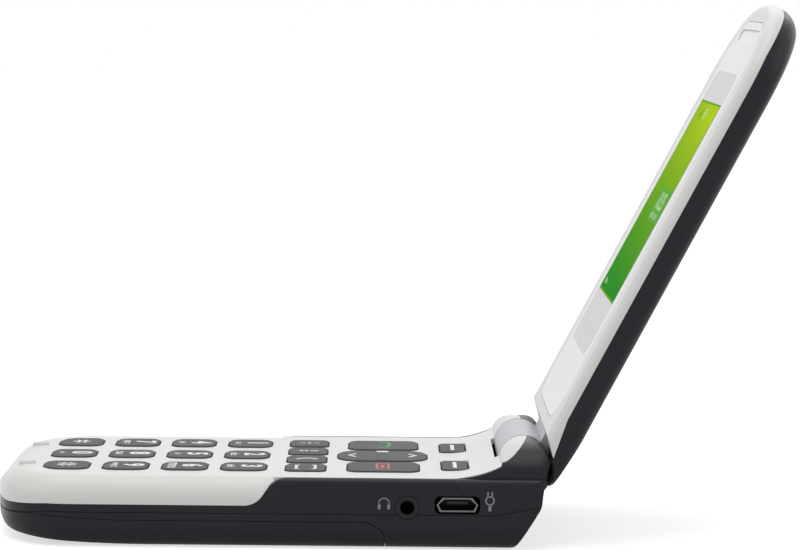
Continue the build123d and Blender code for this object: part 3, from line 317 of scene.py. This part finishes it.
# The dark shells: mid frame with the ears, rear housing, battery cover, lid back and volume
# rocker. A satin blue-grey moulding whose fine spark-eroded skin spreads the highlights.
dark_colour = (0.0155, 0.0165, 0.0210)
dark_shade = (0.0120, 0.0128, 0.0170)
dark_plastic = moulded_plastic(
    "dark_plastic", dark_colour, dark_shade, 0.30, 6500.0, 0.006 * MM, gloss=0.2
)
dress(
    dark_plastic, "mid_frame", "rear_housing", "battery_cover", "lid_back_cover",
    "volume_rocker",
)


# The keys: mid-grey satin caps with rounded edges. The sides, below the top face, are painted
# darker as shade.
key_top_colour = (0.076, 0.076, 0.078)
key_top_shade = (0.066, 0.066, 0.068)
key_side_painted_shade = (0.022, 0.022, 0.023)
side_shade_start, side_shade_full = 0.08 * MM, 0.32 * MM
key_names = [name for name in frame["bodies"] if name.startswith(("key_", "shortcut_key_"))]
key_names += ["call_key", "end_key", "nav_rocker", "left_soft_key", "right_soft_key"]
key_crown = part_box("key_5")[1].z


def recolour(material, mask, colour):
    """Changes a material's base colour to another one where the mask is 1."""
    tree = material.node_tree
    base = tree.nodes["Principled BSDF"].inputs["Base Color"]
    mixed = mix_colours(tree, mask, base.links[0].from_socket, (*colour, 1.0))
    tree.links.new(mixed, base)


def mask_along(material, axis, start, end):
    """Mask along one axis of the object: 0 up to start, and 1 from end on."""
    tree = material.node_tree
    place = add_node(tree, "TexCoord").outputs["Object"]
    split = add_node(tree, "SeparateXYZ", {"Vector": place}).outputs
    return map_range(tree, split[axis], start, end)


key_plastic = moulded_plastic(
    "key_plastic", key_top_colour, key_top_shade, 0.5, 5200.0, 0.006 * MM, gloss=0.12
)
# Painted shade: each cap's sides are coloured darker below its top face.
side_shade_mask = mask_along(key_plastic, "Z", key_crown - side_shade_start, key_crown - side_shade_full)
recolour(key_plastic, side_shade_mask, key_side_painted_shade)
dress(key_plastic, *key_names)


# The legends on the keys: pad-printed ink a few hundredths of a millimetre thick. Numbers
# stand towards the hinge, the small letters below them, read with the hinge at the top.
# Marks are drawn in millimetres, as right and up from the middle of what they are printed on.
ink_thickness, ink_lift = 0.02 * MM, 0.004 * MM
ink_pale_tone = 1.06
digit_height, digit_bold, digit_up = 4.0, 0.035, 1.45
letter_height, letter_bold, letter_up = 1.6, 0.01, -2.35
plus_height = 1.3
mitre_limit = 0.4
legend_letters = {
    "1": "", "2": "abc", "3": "def", "4": "ghi", "5": "jkl", "6": "mno", "7": "pqrs",
    "8": "tuv", "9": "wxyz", "0": "+",
}
keypad_right, keypad_up, keypad_out = (0, -1, 0), (1, 0, 0), (0, 0, 1)


def ink_material(name, colour):
    """Printed ink: its colour with a slight blotchiness, matt, with the skin group's grain."""
    pale = tuple(min(1.0, channel * ink_pale_tone) for channel in colour)
    return moulded_plastic(name, pale, colour, 0.5, 9000.0, 0.002 * MM, gloss=0.2)


white_ink = ink_material("white_ink", (0.86, 0.86, 0.86))
green_ink = ink_material("green_ink", (0.05, 0.38, 0.13))
red_ink = ink_material("red_ink", (0.50, 0.11, 0.11))


def text_shape(words, height, bold=0.0):
    """Flat closed shape of some words, centred, as tall as height in millimetres: corners as
    an array of (right, up, out) with out 0 or 1, and faces."""
    curve = bpy.data.curves.new("words", "FONT")
    curve.body = words
    curve.extrude = 0.5
    curve.resolution_u = 6
    curve.offset = bold
    holder = bpy.data.objects.new("words", curve)
    bpy.context.scene.collection.objects.link(holder)
    mesh = bpy.data.meshes.new_from_object(holder)
    corners = np.zeros(len(mesh.vertices) * 3, np.float32)
    mesh.vertices.foreach_get("co", corners)
    corners = corners.reshape(-1, 3).astype(float)
    faces = [tuple(face.vertices) for face in mesh.polygons]
    bpy.data.objects.remove(holder)
    bpy.data.curves.remove(curve)
    bpy.data.meshes.remove(mesh)
    low, high = corners.min(0), corners.max(0)
    scale = height / (high[1] - low[1])
    corners[:, :2] = (corners[:, :2] - (low[:2] + high[:2]) / 2) * scale
    corners[:, 2] = (corners[:, 2] > 0).astype(float)
    return corners, faces


def layered(outline):
    """Corners of a flat shape: its outline's points with out at 0, and again with out at 1."""
    count = len(outline)
    low = np.hstack([outline, np.zeros((count, 1))])
    high = np.hstack([outline, np.ones((count, 1))])
    return np.vstack([low, high])


def stroke_shape(path, width, closed=False):
    """Flat closed shape of a pen line: each point of the path is moved to both sides along its
    mitre, half the width over the cosine of half the turn, which is taken as no less than the
    mitre limit, and the band gets a thickness."""
    path = np.asarray(path, float)
    ahead = np.roll(path, -1, 0) - path
    behind = path - np.roll(path, 1, 0)
    if not closed:
        ahead[-1], behind[0] = behind[-1], ahead[0]
    ahead = ahead / np.linalg.norm(ahead, axis=1, keepdims=True)
    behind = behind / np.linalg.norm(behind, axis=1, keepdims=True)
    run = ahead + behind
    run = run / np.linalg.norm(run, axis=1, keepdims=True)
    reach = (width / 2) / np.clip((run * ahead).sum(1), mitre_limit, 1.0)
    side = np.stack([-run[:, 1], run[:, 0]], 1) * reach[:, None]
    count = len(path)
    top = 2 * count
    faces = []
    for a in range(count if closed else count - 1):
        b = (a + 1) % count
        c, d = b + count, a + count
        faces.append((a + top, d + top, c + top, b + top))
        faces.append((a, b, c, d))
        faces.append((a, a + top, b + top, b))
        faces.append((d, c, c + top, d + top))
    if not closed:
        faces.append((0, count, count + top, top))
        faces.append((count - 1, count - 1 + top, top - 1 + top, top - 1))
    return layered(np.vstack([path + side, path - side])), faces


def round_path(centre, radii, count, first=0.0, last=360.0):
    """Points of an ellipse or its arc, centre + (a cos t, b sin t), with t in degrees from
    first to last. The last point of a full turn would be its first, and is left out."""
    full = last - first == 360.0
    turn = np.radians(np.linspace(first, last, count, endpoint=not full))
    return np.stack([centre[0] + radii[0] * np.cos(turn), centre[1] + radii[1] * np.sin(turn)], 1)


def disc_shape(centre, radius, sides=24):
    """Flat closed disc, as a ring of corners low and high and two caps."""
    after = [(index + 1) % sides for index in range(sides)]
    faces = [(i, after[i], after[i] + sides, i + sides) for i in range(sides)]
    faces.append(tuple(range(sides - 1, -1, -1)))
    faces.append(tuple(range(sides, 2 * sides)))
    return layered(round_path(centre, (radius, radius), sides)), faces


def moved(shape, right=0.0, up=0.0):
    """A flat shape moved in its own plane."""
    corners, faces = shape
    return corners + np.array([right, up, 0.0]), faces


def print_mark(
    name, shapes, origin, right, up, out, material, body, thickness=ink_thickness
):
    """One mesh of flat shapes, laid on a face: origin in metres, and the face's own right, up
    and out directions. A corner is origin + right * r + up * u + out * thickness * t."""
    right, up, out = (np.array(axis, float) for axis in (right, up, out))
    all_corners, all_faces, start = [], [], 0
    for corners, faces in shapes:
        placed = np.array(origin, float) + out * ink_lift
        placed = placed + corners[:, :1] * MM * right + corners[:, 1:2] * MM * up
        placed = placed + corners[:, 2:3] * thickness * out
        all_corners.append(placed)
        all_faces += [tuple(start + index for index in face) for face in faces]
        start += len(corners)
    obj = flat_mesh(name, np.vstack(all_corners), all_faces)
    obj.data.materials.append(material)
    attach(obj, body)


def key_centre(name):
    """Centre of a key's top face."""
    low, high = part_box(name)
    return ((low.x + high.x) / 2, (low.y + high.y) / 2, high.z)


def key_print(key, suffix, shapes, material):
    """Legend on one key, which goes down with it."""
    print_mark(
        f"{key}_{suffix}", shapes, key_centre(key), keypad_right, keypad_up, keypad_out,
        material, key,
    )


# Key 1 has two small rings on a bar where the others have their letters.
ring_radius, ring_side, ring_line = 0.42, 0.75, 0.22
ring_bar = [(-ring_side, -ring_radius), (ring_side, -ring_radius)]
rings_sign = [
    stroke_shape(
        round_path((side * ring_side, 0.0), (ring_radius, ring_radius), 14), ring_line, closed=True
    )
    for side in (-1, 1)
]
rings_sign.append(stroke_shape(ring_bar, ring_line))
for number, letters in legend_letters.items():
    digit = moved(text_shape(number, digit_height, digit_bold), up=digit_up)
    key_print(f"key_{number}", "number", [digit], white_ink)
    small = rings_sign
    if letters:
        tall = plus_height if letters == "+" else letter_height
        small = [text_shape(letters, tall, letter_bold)]
    small = [moved(shape, up=letter_up) for shape in small]
    key_print(f"key_{number}", "letters", small, white_ink)

# The star is three crossed strokes, the hash two level bars and two that lean a little.
sign_reach, star_line, hash_line = 1.7, 0.6, 0.55
hash_up, hash_right, hash_lean = 0.65, 0.7, 0.2
star = []
for turn in (radians(30), radians(90), radians(150)):
    tip = sign_reach * np.array([cos(turn), sin(turn)])
    star.append(stroke_shape([-tip, tip], star_line))
key_print("key_star", "number", star, white_ink)
hash_mark = [
    stroke_shape([(-sign_reach, up), (sign_reach, up)], hash_line) for up in (-hash_up, hash_up)
]
hash_mark += [
    stroke_shape([(right - hash_lean, -sign_reach), (right + hash_lean, sign_reach)], hash_line)
    for right in (-hash_right, hash_right)
]
key_print("key_hash", "number", hash_mark, white_ink)

# Marks of the four shortcut keys: a dot in a thin line, dots with a dash, an arc and a pair
# of brackets. Each runs along the phone.
dot_radius = 0.42
arc = round_path((0.9, 0.0), (1.6, 1.9), 12, 105.0, 255.0)
shortcut_marks = [
    [disc_shape((0.0, 0.0), dot_radius)]
    + [stroke_shape([(0.0, side * 0.8), (0.0, side * 1.9)], 0.3) for side in (-1, 1)],
    [disc_shape((0.0, -1.3), dot_radius), disc_shape((0.0, -0.35), dot_radius)]
    + [stroke_shape([(0.0, 0.45), (0.0, 1.9)], 0.65)],
    [stroke_shape(arc, 0.6)],
    [stroke_shape([(-1.9, s * 1.15), (-1.9, s * 1.75), (1.9, s * 1.75), (1.9, s * 1.15)], 0.5)
     for s in (-1, 1)],
]
for index, shapes in enumerate(shortcut_marks):
    key_print(f"shortcut_key_{index + 1}", "mark", shapes, white_ink)

# Call and end: the line of a handset picked up, in green, and of one laid down, in red.
picked_up = [(-3.1, -1.0), (-3.3, 0.4), (-2.2, 1.15), (0.8, 1.15), (2.7, 0.6), (2.9, -0.8)]
laid_down = [(-2.9, -1.15), (2.9, -1.15), (3.3, -0.5), (3.0, 1.0), (-3.0, 1.0), (-3.3, -0.5)]
laid_down_bar = [(-1.7, -0.1), (1.7, -0.1)]
key_print("call_key", "mark", [stroke_shape(picked_up, 0.55)], green_ink)
key_print(
    "end_key", "mark",
    [stroke_shape(laid_down, 0.5, closed=True), stroke_shape(laid_down_bar, 0.7)], red_ink,
)

# The rocker has an arrow at each end and a pale bar beside its darker middle field, and each
# soft key has one long bar.
dark_ink = ink_material("dark_ink", (0.034, 0.034, 0.036))
for end, suffix in ((-1, "arrow_down"), (1, "arrow_up")):
    arrow = stroke_shape([(-1.8, end * 5.0), (0.0, end * 6.3), (1.8, end * 5.0)], 0.5)
    key_print("nav_rocker", suffix, [arrow], white_ink)
key_print("nav_rocker", "field", [stroke_shape([(-3.7, 0.0), (5.4, 0.0)], 2.2)], dark_ink)
key_print("nav_rocker", "bar", [stroke_shape([(-4.6, -1.1), (-4.6, 1.1)], 1.4)], white_ink)
for key in ("left_soft_key", "right_soft_key"):
    key_print(key, "bar", [stroke_shape([(-3.2, 0.0), (3.2, 0.0)], 0.7)], white_ink)


# The hinge barrel between the ears is a pale grey moulding, a touch cooler than the covers.
# It carries the lid on its neck and turns on the shaft and the hollow bush.
barrel_colour = (0.56, 0.555, 0.60)
barrel_shade = (0.51, 0.505, 0.55)
barrel_plastic = moulded_plastic(
    "barrel_plastic", barrel_colour, barrel_shade, 0.4, 5200.0, 0.004 * MM, gloss=0.35
)
dress(barrel_plastic, "hinge_barrel")


# The display window is one polished lens, printed white behind, with a grey-lilac field round
# the picture. The lid's own directions run along it, across it and out of its inner face.
hinge_at = np.array([46.7, 0.0, 14.3]) * MM
open_angle = 117.74
lid_lean = radians(180 - open_angle)
lid_along = np.array([cos(lid_lean), 0.0, sin(lid_lean)])
lid_out = np.array([-sin(lid_lean), 0.0, cos(lid_lean)])
lid_right = np.array([0.0, -1.0, 0.0])
lens_colour = (0.80, 0.80, 0.83)
lens_shade = (0.785, 0.785, 0.815)
field_colour = (0.53, 0.53, 0.57)
field_start, field_end, field_half = 22.7 * MM, 81.0 * MM, 16.6 * MM
field_round, field_edge = 3.0 * MM, 0.08 * MM


def lid_place(tree):
    """Position in the lid's own directions: along from the hinge axis, across, and out."""
    place = add_node(tree, "TexCoord").outputs["Object"]
    shift = add_node(tree, "VectorMath", {0: place, 1: tuple(hinge_at)}, operation="SUBTRACT")
    values = {"Vector": shift.outputs[0], "Angle": lid_lean}
    return add_node(tree, "VectorRotate", values, rotation_type="Y_AXIS").outputs["Vector"]


def box_mask(tree, along, across, centre, half, corner, soft):
    """Mask of a rounded rectangle: 1 inside. The distance from its edge is the length of the
    part of (|p - centre| - half + corner) above 0, less the corner's radius."""
    squares = []
    for position, middle, reach in zip((along, across), centre, half):
        away = math_node(tree, "ABSOLUTE", math_node(tree, "SUBTRACT", position, middle))
        excess = math_node(tree, "SUBTRACT", away, reach - corner)
        excess = math_node(tree, "MAXIMUM", excess, 0.0)
        squares.append(math_node(tree, "MULTIPLY", excess, excess))
    length = math_node(tree, "SQRT", math_node(tree, "ADD", *squares))
    return map_range(tree, math_node(tree, "SUBTRACT", length, corner), soft, -soft)


lens = moulded_plastic("lens", lens_colour, lens_shade, 0.2, 900.0, 0.0005 * MM, gloss=0.3)
tree = lens.node_tree
split = add_node(tree, "SeparateXYZ", {"Vector": lid_place(tree)}).outputs
field_mask = box_mask(
    tree, split["X"], split["Y"], ((field_start + field_end) / 2, 0.0),
    ((field_end - field_start) / 2, field_half), field_round, field_edge,
)
recolour(lens, field_mask, field_colour)
dress(lens, "display_window")


# The lit picture: a plain blend from lime at the top to a deeper green, with soft folds of
# light, a darker edge line, a clock and small status marks. It has no gloss of its own.
screen_start, screen_length, screen_half = 33.66, 40.8, 15.3
screen_end = screen_start + screen_length
screen_rows, screen_columns = 25, 19
top_green = (0.50, 0.68, 0.012)
middle_green = (0.21, 0.46, 0.010)
low_green = (0.004, 0.27, 0.026)
low_stop, middle_stop, top_stop = 0.06, 0.48, 0.94
fold_green, fold_share = (0.10, 0.32, 0.020), 0.35
side_dimming = 0.30
unlit_colour, unlit_share = (0.01, 0.02, 0.01), 0.88
picture_glow, picture_roughness = 0.80, 0.6
picture_out, mark_out, over_box_out = 0.006, 0.01, 0.016
mark_thickness = 0.004 * MM


def lid_point(along, out):
    """A point on the lid's middle line, in metres."""
    return hinge_at + lid_along * along * MM + lid_out * out * MM


def screen_mesh(name, start, end, half, out):
    """Sheet over the lens: a grid of (along, across) points, one quad per cell."""
    along, across = np.meshgrid(
        np.linspace(start, end, screen_rows), np.linspace(-half, half, screen_columns),
        indexing="ij",
    )
    points = hinge_at + along[..., None] * MM * lid_along + across[..., None] * MM * lid_right
    points = (points + lid_out * out * MM).reshape(-1, 3)
    corner = np.arange(along.size).reshape(along.shape)
    faces = np.stack([corner[:-1, :-1], corner[:-1, 1:], corner[1:, 1:], corner[1:, :-1]], -1)
    return flat_mesh(name, points, faces.reshape(-1, 4).tolist())


picture = screen_mesh("screen_picture", screen_start, screen_end, screen_half, picture_out)
picture_material, tree, shader = new_material("lit_picture")
place = lid_place(tree)
split = add_node(tree, "SeparateXYZ", {"Vector": place}).outputs
fade = map_range(tree, split["X"], screen_start * MM, screen_end * MM)
ramp = add_node(tree, "ValToRGB", {"Fac": fade})
ramp.color_ramp.elements[0].color = (*low_green, 1.0)
ramp.color_ramp.elements[1].color = (*top_green, 1.0)
ramp.color_ramp.elements[0].position = low_stop
ramp.color_ramp.elements[1].position = top_stop
middle = ramp.color_ramp.elements.new(middle_stop)
middle.color = (*middle_green, 1.0)
folds = add_node(
    tree, "TexWave", {"Vector": place, "Scale": 9.0, "Distortion": 3.0, "Detail": 1.0},
    wave_profile="SIN", bands_direction="DIAGONAL",
)
fold_level = map_range(tree, folds.outputs["Fac"], 0.0, 1.0, 0.0, fold_share)
folded = mix_colours(tree, fold_level, ramp.outputs["Color"], (*fold_green, 1.0))
slant = map_range(
    tree, split["Y"], -screen_half * MM, screen_half * MM, 0.0, side_dimming
)
dimmed = mix_colours(tree, slant, folded, (*low_green, 1.0))
feed(
    tree, shader,
    {
        "Base Color": mix_colours(tree, unlit_share, dimmed, (*unlit_colour, 1.0)),
        "Roughness": picture_roughness,
        "Specular IOR Level": 0.0,
        "Emission Color": dimmed,
        "Emission Strength": picture_glow,
    },
)
picture.data.materials.append(picture_material)
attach(picture, "lid")


def lit_ink(name, colour, shade, glow, strength):
    """Ink of the picture's marks: two tones that glow a little, without gloss."""
    ink = moulded_plastic(name, colour, shade, 0.6, 3000.0, 0.001 * MM, gloss=0.0)
    shader = ink.node_tree.nodes["Principled BSDF"].inputs
    feed(
        ink.node_tree, shader, {"Emission Color": (*glow, 1.0), "Emission Strength": strength}
    )
    return ink


pale_green, pale_green_shade = (0.42, 0.58, 0.30), (0.38, 0.54, 0.27)
edge_green, edge_green_shade = (0.16, 0.36, 0.02), (0.14, 0.33, 0.02)
box_green, box_green_shade = (0.12, 0.36, 0.07), (0.10, 0.33, 0.06)
pale_light = lit_ink("pale_light", pale_green, pale_green_shade, pale_green, 0.35)
shade_light = lit_ink("shade_light", edge_green, edge_green_shade, edge_green_shade, 0.3)
box_light = lit_ink("box_light", box_green, box_green_shade, box_green, 0.3)


def screen_print(name, shapes, along, material=pale_light, out=mark_out):
    """Marks of the picture, laid on it at a height along the lid."""
    print_mark(
        name, shapes, lid_point(along, out), lid_right, lid_along, lid_out,
        material, "lid", thickness=mark_thickness,
    )


edge = [
    (-screen_half, screen_start), (screen_half, screen_start),
    (screen_half, screen_end), (-screen_half, screen_end),
]
screen_print("screen_edge", [stroke_shape(edge, 0.4, closed=True)], 0.0, shade_light)

clock_at, clock_right = 53.2, 6.0
clock_height, clock_up, clock_bold = 3.6, 0.9, 0.02
small_height, small_bold, date_up = 1.3, 0.01, -2.2
clock_box = stroke_shape([(-2.4, 0.0), (14.4, 0.0)], 6.6)
screen_print("clock_box", [clock_box], clock_at, box_light)
clock = text_shape("10:25", clock_height, clock_bold)
screen_print(
    "screen_clock", [moved(clock, right=clock_right, up=clock_up)], clock_at, out=over_box_out
)
date = text_shape("MON 12 MAY", small_height, small_bold)
screen_print(
    "screen_date", [moved(date, right=clock_right, up=date_up)], clock_at, out=over_box_out
)

status_at, menu_at, menu_right = 72.2, 35.6, -10.6
bars_start, bar_step, bar_rise, bar_line = -8.0, 1.1, 0.5, 0.65
bars = []
for step in range(4):
    right = bars_start + bar_step * step
    bars.append(stroke_shape([(right, -1.0), (right, -0.3 + bar_rise * step)], bar_line))
cell = [
    stroke_shape([(-1.6, -0.8), (1.4, -0.8), (1.4, 0.8), (-1.6, 0.8)], 0.3, closed=True),
    stroke_shape([(-1.2, 0.0), (0.4, 0.0)], 1.0),
    stroke_shape([(1.55, 0.0), (1.9, 0.0)], 0.8),
]
screen_print("screen_bars", bars, status_at, shade_light)
screen_print("screen_status", cell, status_at)
menu = text_shape("Menu", small_height, small_bold)
screen_print("screen_menu", [moved(menu, right=menu_right)], menu_at)


# The stop pads by the keypad end are two small soft capsules of pale rubber, pushed into the
# keypad face where the closed lid comes down.
pad_colour = (0.74, 0.74, 0.73)
pad_shade = (0.70, 0.70, 0.69)
pad_rubber = moulded_plastic("pad_rubber", pad_colour, pad_shade, 0.6, 3500.0, 0.01 * MM)
dress(pad_rubber, "stop_pads")


# Sockets in the near side: a black jack moulding, and the folded steel shell of the USB socket
# with its black tongue. The same black plastic makes the other carriers inside.
black_colour = (0.006, 0.006, 0.007)
black_shade = (0.004, 0.004, 0.005)
black_plastic = moulded_plastic(
    "black_plastic", black_colour, black_shade, 0.35, 4200.0, 0.006 * MM, gloss=0.3
)
dress(
    black_plastic, "audio_jack", "usb_tongue", "loudspeaker", "battery_contacts", "antenna",
    "earpiece",
)
steel_shade_share = 0.88
scratch_stretch = (400.0, 9000.0, 9000.0)


def turned_steel(name, colour, roughness, scratch):
    """Sheet or turned steel: a metal whose roughness follows fine lines of stretched noise."""
    material, tree, shader = new_material(name)
    place = add_node(tree, "TexCoord").outputs["Object"]
    stretch = add_node(tree, "Mapping", {"Vector": place, "Scale": scratch_stretch})
    noise = {"Vector": stretch.outputs["Vector"], "Scale": 1.0}
    lines = add_node(tree, "TexNoise", noise).outputs["Fac"]
    shade = (*(channel * steel_shade_share for channel in colour), 1.0)
    rough = map_range(tree, lines, 0.0, 1.0, roughness - scratch, roughness + scratch)
    feed(
        tree, shader,
        {
            "Base Color": mix_colours(tree, lines, (*colour, 1.0), shade),
            "Metallic": 1.0,
            "Roughness": rough,
        },
    )
    return material


steel = turned_steel("steel", (0.62, 0.61, 0.59), 0.32, 0.08)
dress(
    steel, "sim_socket", "microphone", "vibration_motor", "vibration_weight",
    "hinge_shaft", "hinge_cartridge", "display_tray", "closing_magnet",
)
screw_steel = turned_steel("screw_steel", (0.20, 0.20, 0.21), 0.38, 0.06)
dress(screw_steel, "housing_screws", "lid_screws")

# The USB shell is bright at its folded front rim, and its inside is painted dark as shade.
recess_shade_colour = (0.015, 0.015, 0.016)
recess_shade_start, recess_shade_full = 0.15 * MM, 0.45 * MM
shell_steel = turned_steel("shell_steel", (0.16, 0.16, 0.165), 0.30, 0.08)
shell_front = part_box("usb_shell")[0].y
shell_shade_mask = mask_along(
    shell_steel, "Y", shell_front + recess_shade_start, shell_front + recess_shade_full
)
# Painted shade inside the shell, behind the front rim.
recolour(shell_steel, shell_shade_mask, recess_shade_colour)
dress(shell_steel, "usb_shell")


# The mesh in the earpiece slot is a thin strip at the bottom of the slot, painted white like the
# lens. Its white is set lighter than the lens's, as painted light that cancels the shade in the
# slot.
mesh_painted_light_colour = (0.93, 0.93, 0.95)
mesh_painted_light_shade = (0.90, 0.90, 0.92)
painted_mesh = moulded_plastic(
    "painted_mesh", mesh_painted_light_colour, mesh_painted_light_shade, 0.45, 7000.0, 0.02 * MM, gloss=0.3
)
dress(painted_mesh, "earpiece_mesh")


# Marks on the near side: headphones by the round socket, a plug by the wide one, and a small dot
# above. The first two are printed in pale grey ink on the dark frame, and the dot is black:
# painted shade of a small hollow in the side.
side_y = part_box("mid_frame")[0].y
side_right, side_up, side_out = (1, 0, 0), (0, 0, 1), (0, -1, 0)
side_ink = ink_material("side_ink", (0.24, 0.26, 0.27))
hollow_shade_ink = ink_material("hollow_shade_ink", (0.0015, 0.0015, 0.0018))


def side_print(name, shapes, x, z, ink=side_ink):
    """Mark on the near side of the base, centred at x and z in millimetres."""
    print_mark(
        name, shapes, (x * MM, side_y, z * MM), side_right, side_up, side_out,
        ink, "base",
    )


band = round_path((0.0, 0.05), (0.95, 0.95), 14, -10.0, 190.0)
phones = [stroke_shape(band, 0.2)]
phones += [stroke_shape([(side * 0.85, -0.15), (side * 0.85, -1.0)], 0.5) for side in (-1, 1)]
side_print("headphone_mark", phones, 21.0, 8.5)
plug = [stroke_shape(round_path((0.0, 0.0), (0.75, 0.75), 18), 0.26, closed=True)]
plug += [stroke_shape([(side * 0.38, 0.7), (side * 0.38, 1.6)], 0.26) for side in (-1, 1)]
plug += [stroke_shape([(0.0, -0.75), (0.0, -1.9)], 0.5)]
side_print("plug_mark", plug, 40.1, 9.2)
# The dot: painted shade of a small hollow.
side_print("painted_hollow_shade", [disc_shape((0.0, 0.0), 0.3)], 34.3, 11.5, hollow_shade_ink)


# What the open battery bay and the gaps show: boards, films, mat, battery and foam. Each row
# is a finish, its two tones, its roughness, its grain's scale and depth in millimetres, and
# the nodes that are made of it.
inner_finishes = [
    ("board_green", (0.020, 0.130, 0.050), (0.012, 0.095, 0.035), 0.4, 1500.0, 0.01,
     ("main_board", "lid_board")),
    ("amber_film", (0.55, 0.27, 0.05), (0.48, 0.22, 0.04), 0.35, 1200.0, 0.002,
     ("dome_sheet", "side_switches", "base_flex", "lid_flex")),
    ("silicone", (0.62, 0.62, 0.60), (0.55, 0.55, 0.53), 0.6, 2500.0, 0.004, ("key_mat",)),
    ("foam", (0.015, 0.015, 0.015), (0.010, 0.010, 0.010), 0.9, 2500.0, 0.05,
     ("display_gasket",)),
    ("bush_plastic", (0.30, 0.30, 0.31), (0.26, 0.26, 0.27), 0.5, 4000.0, 0.005,
     ("pivot_bush",)),
    ("battery_wrap", (0.05, 0.05, 0.055), (0.04, 0.04, 0.045), 0.45, 3000.0, 0.004,
     ("battery",)),
    ("panel_glass", (0.02, 0.03, 0.02), (0.015, 0.02, 0.015), 0.15, 900.0, 0.0005,
     ("display_panel",)),
]
for name, colour, shade, roughness, grain_scale, grain_depth, made_of_it in inner_finishes:
    finish = moulded_plastic(name, colour, shade, roughness, grain_scale, grain_depth * MM)
    dress(finish, *made_of_it)
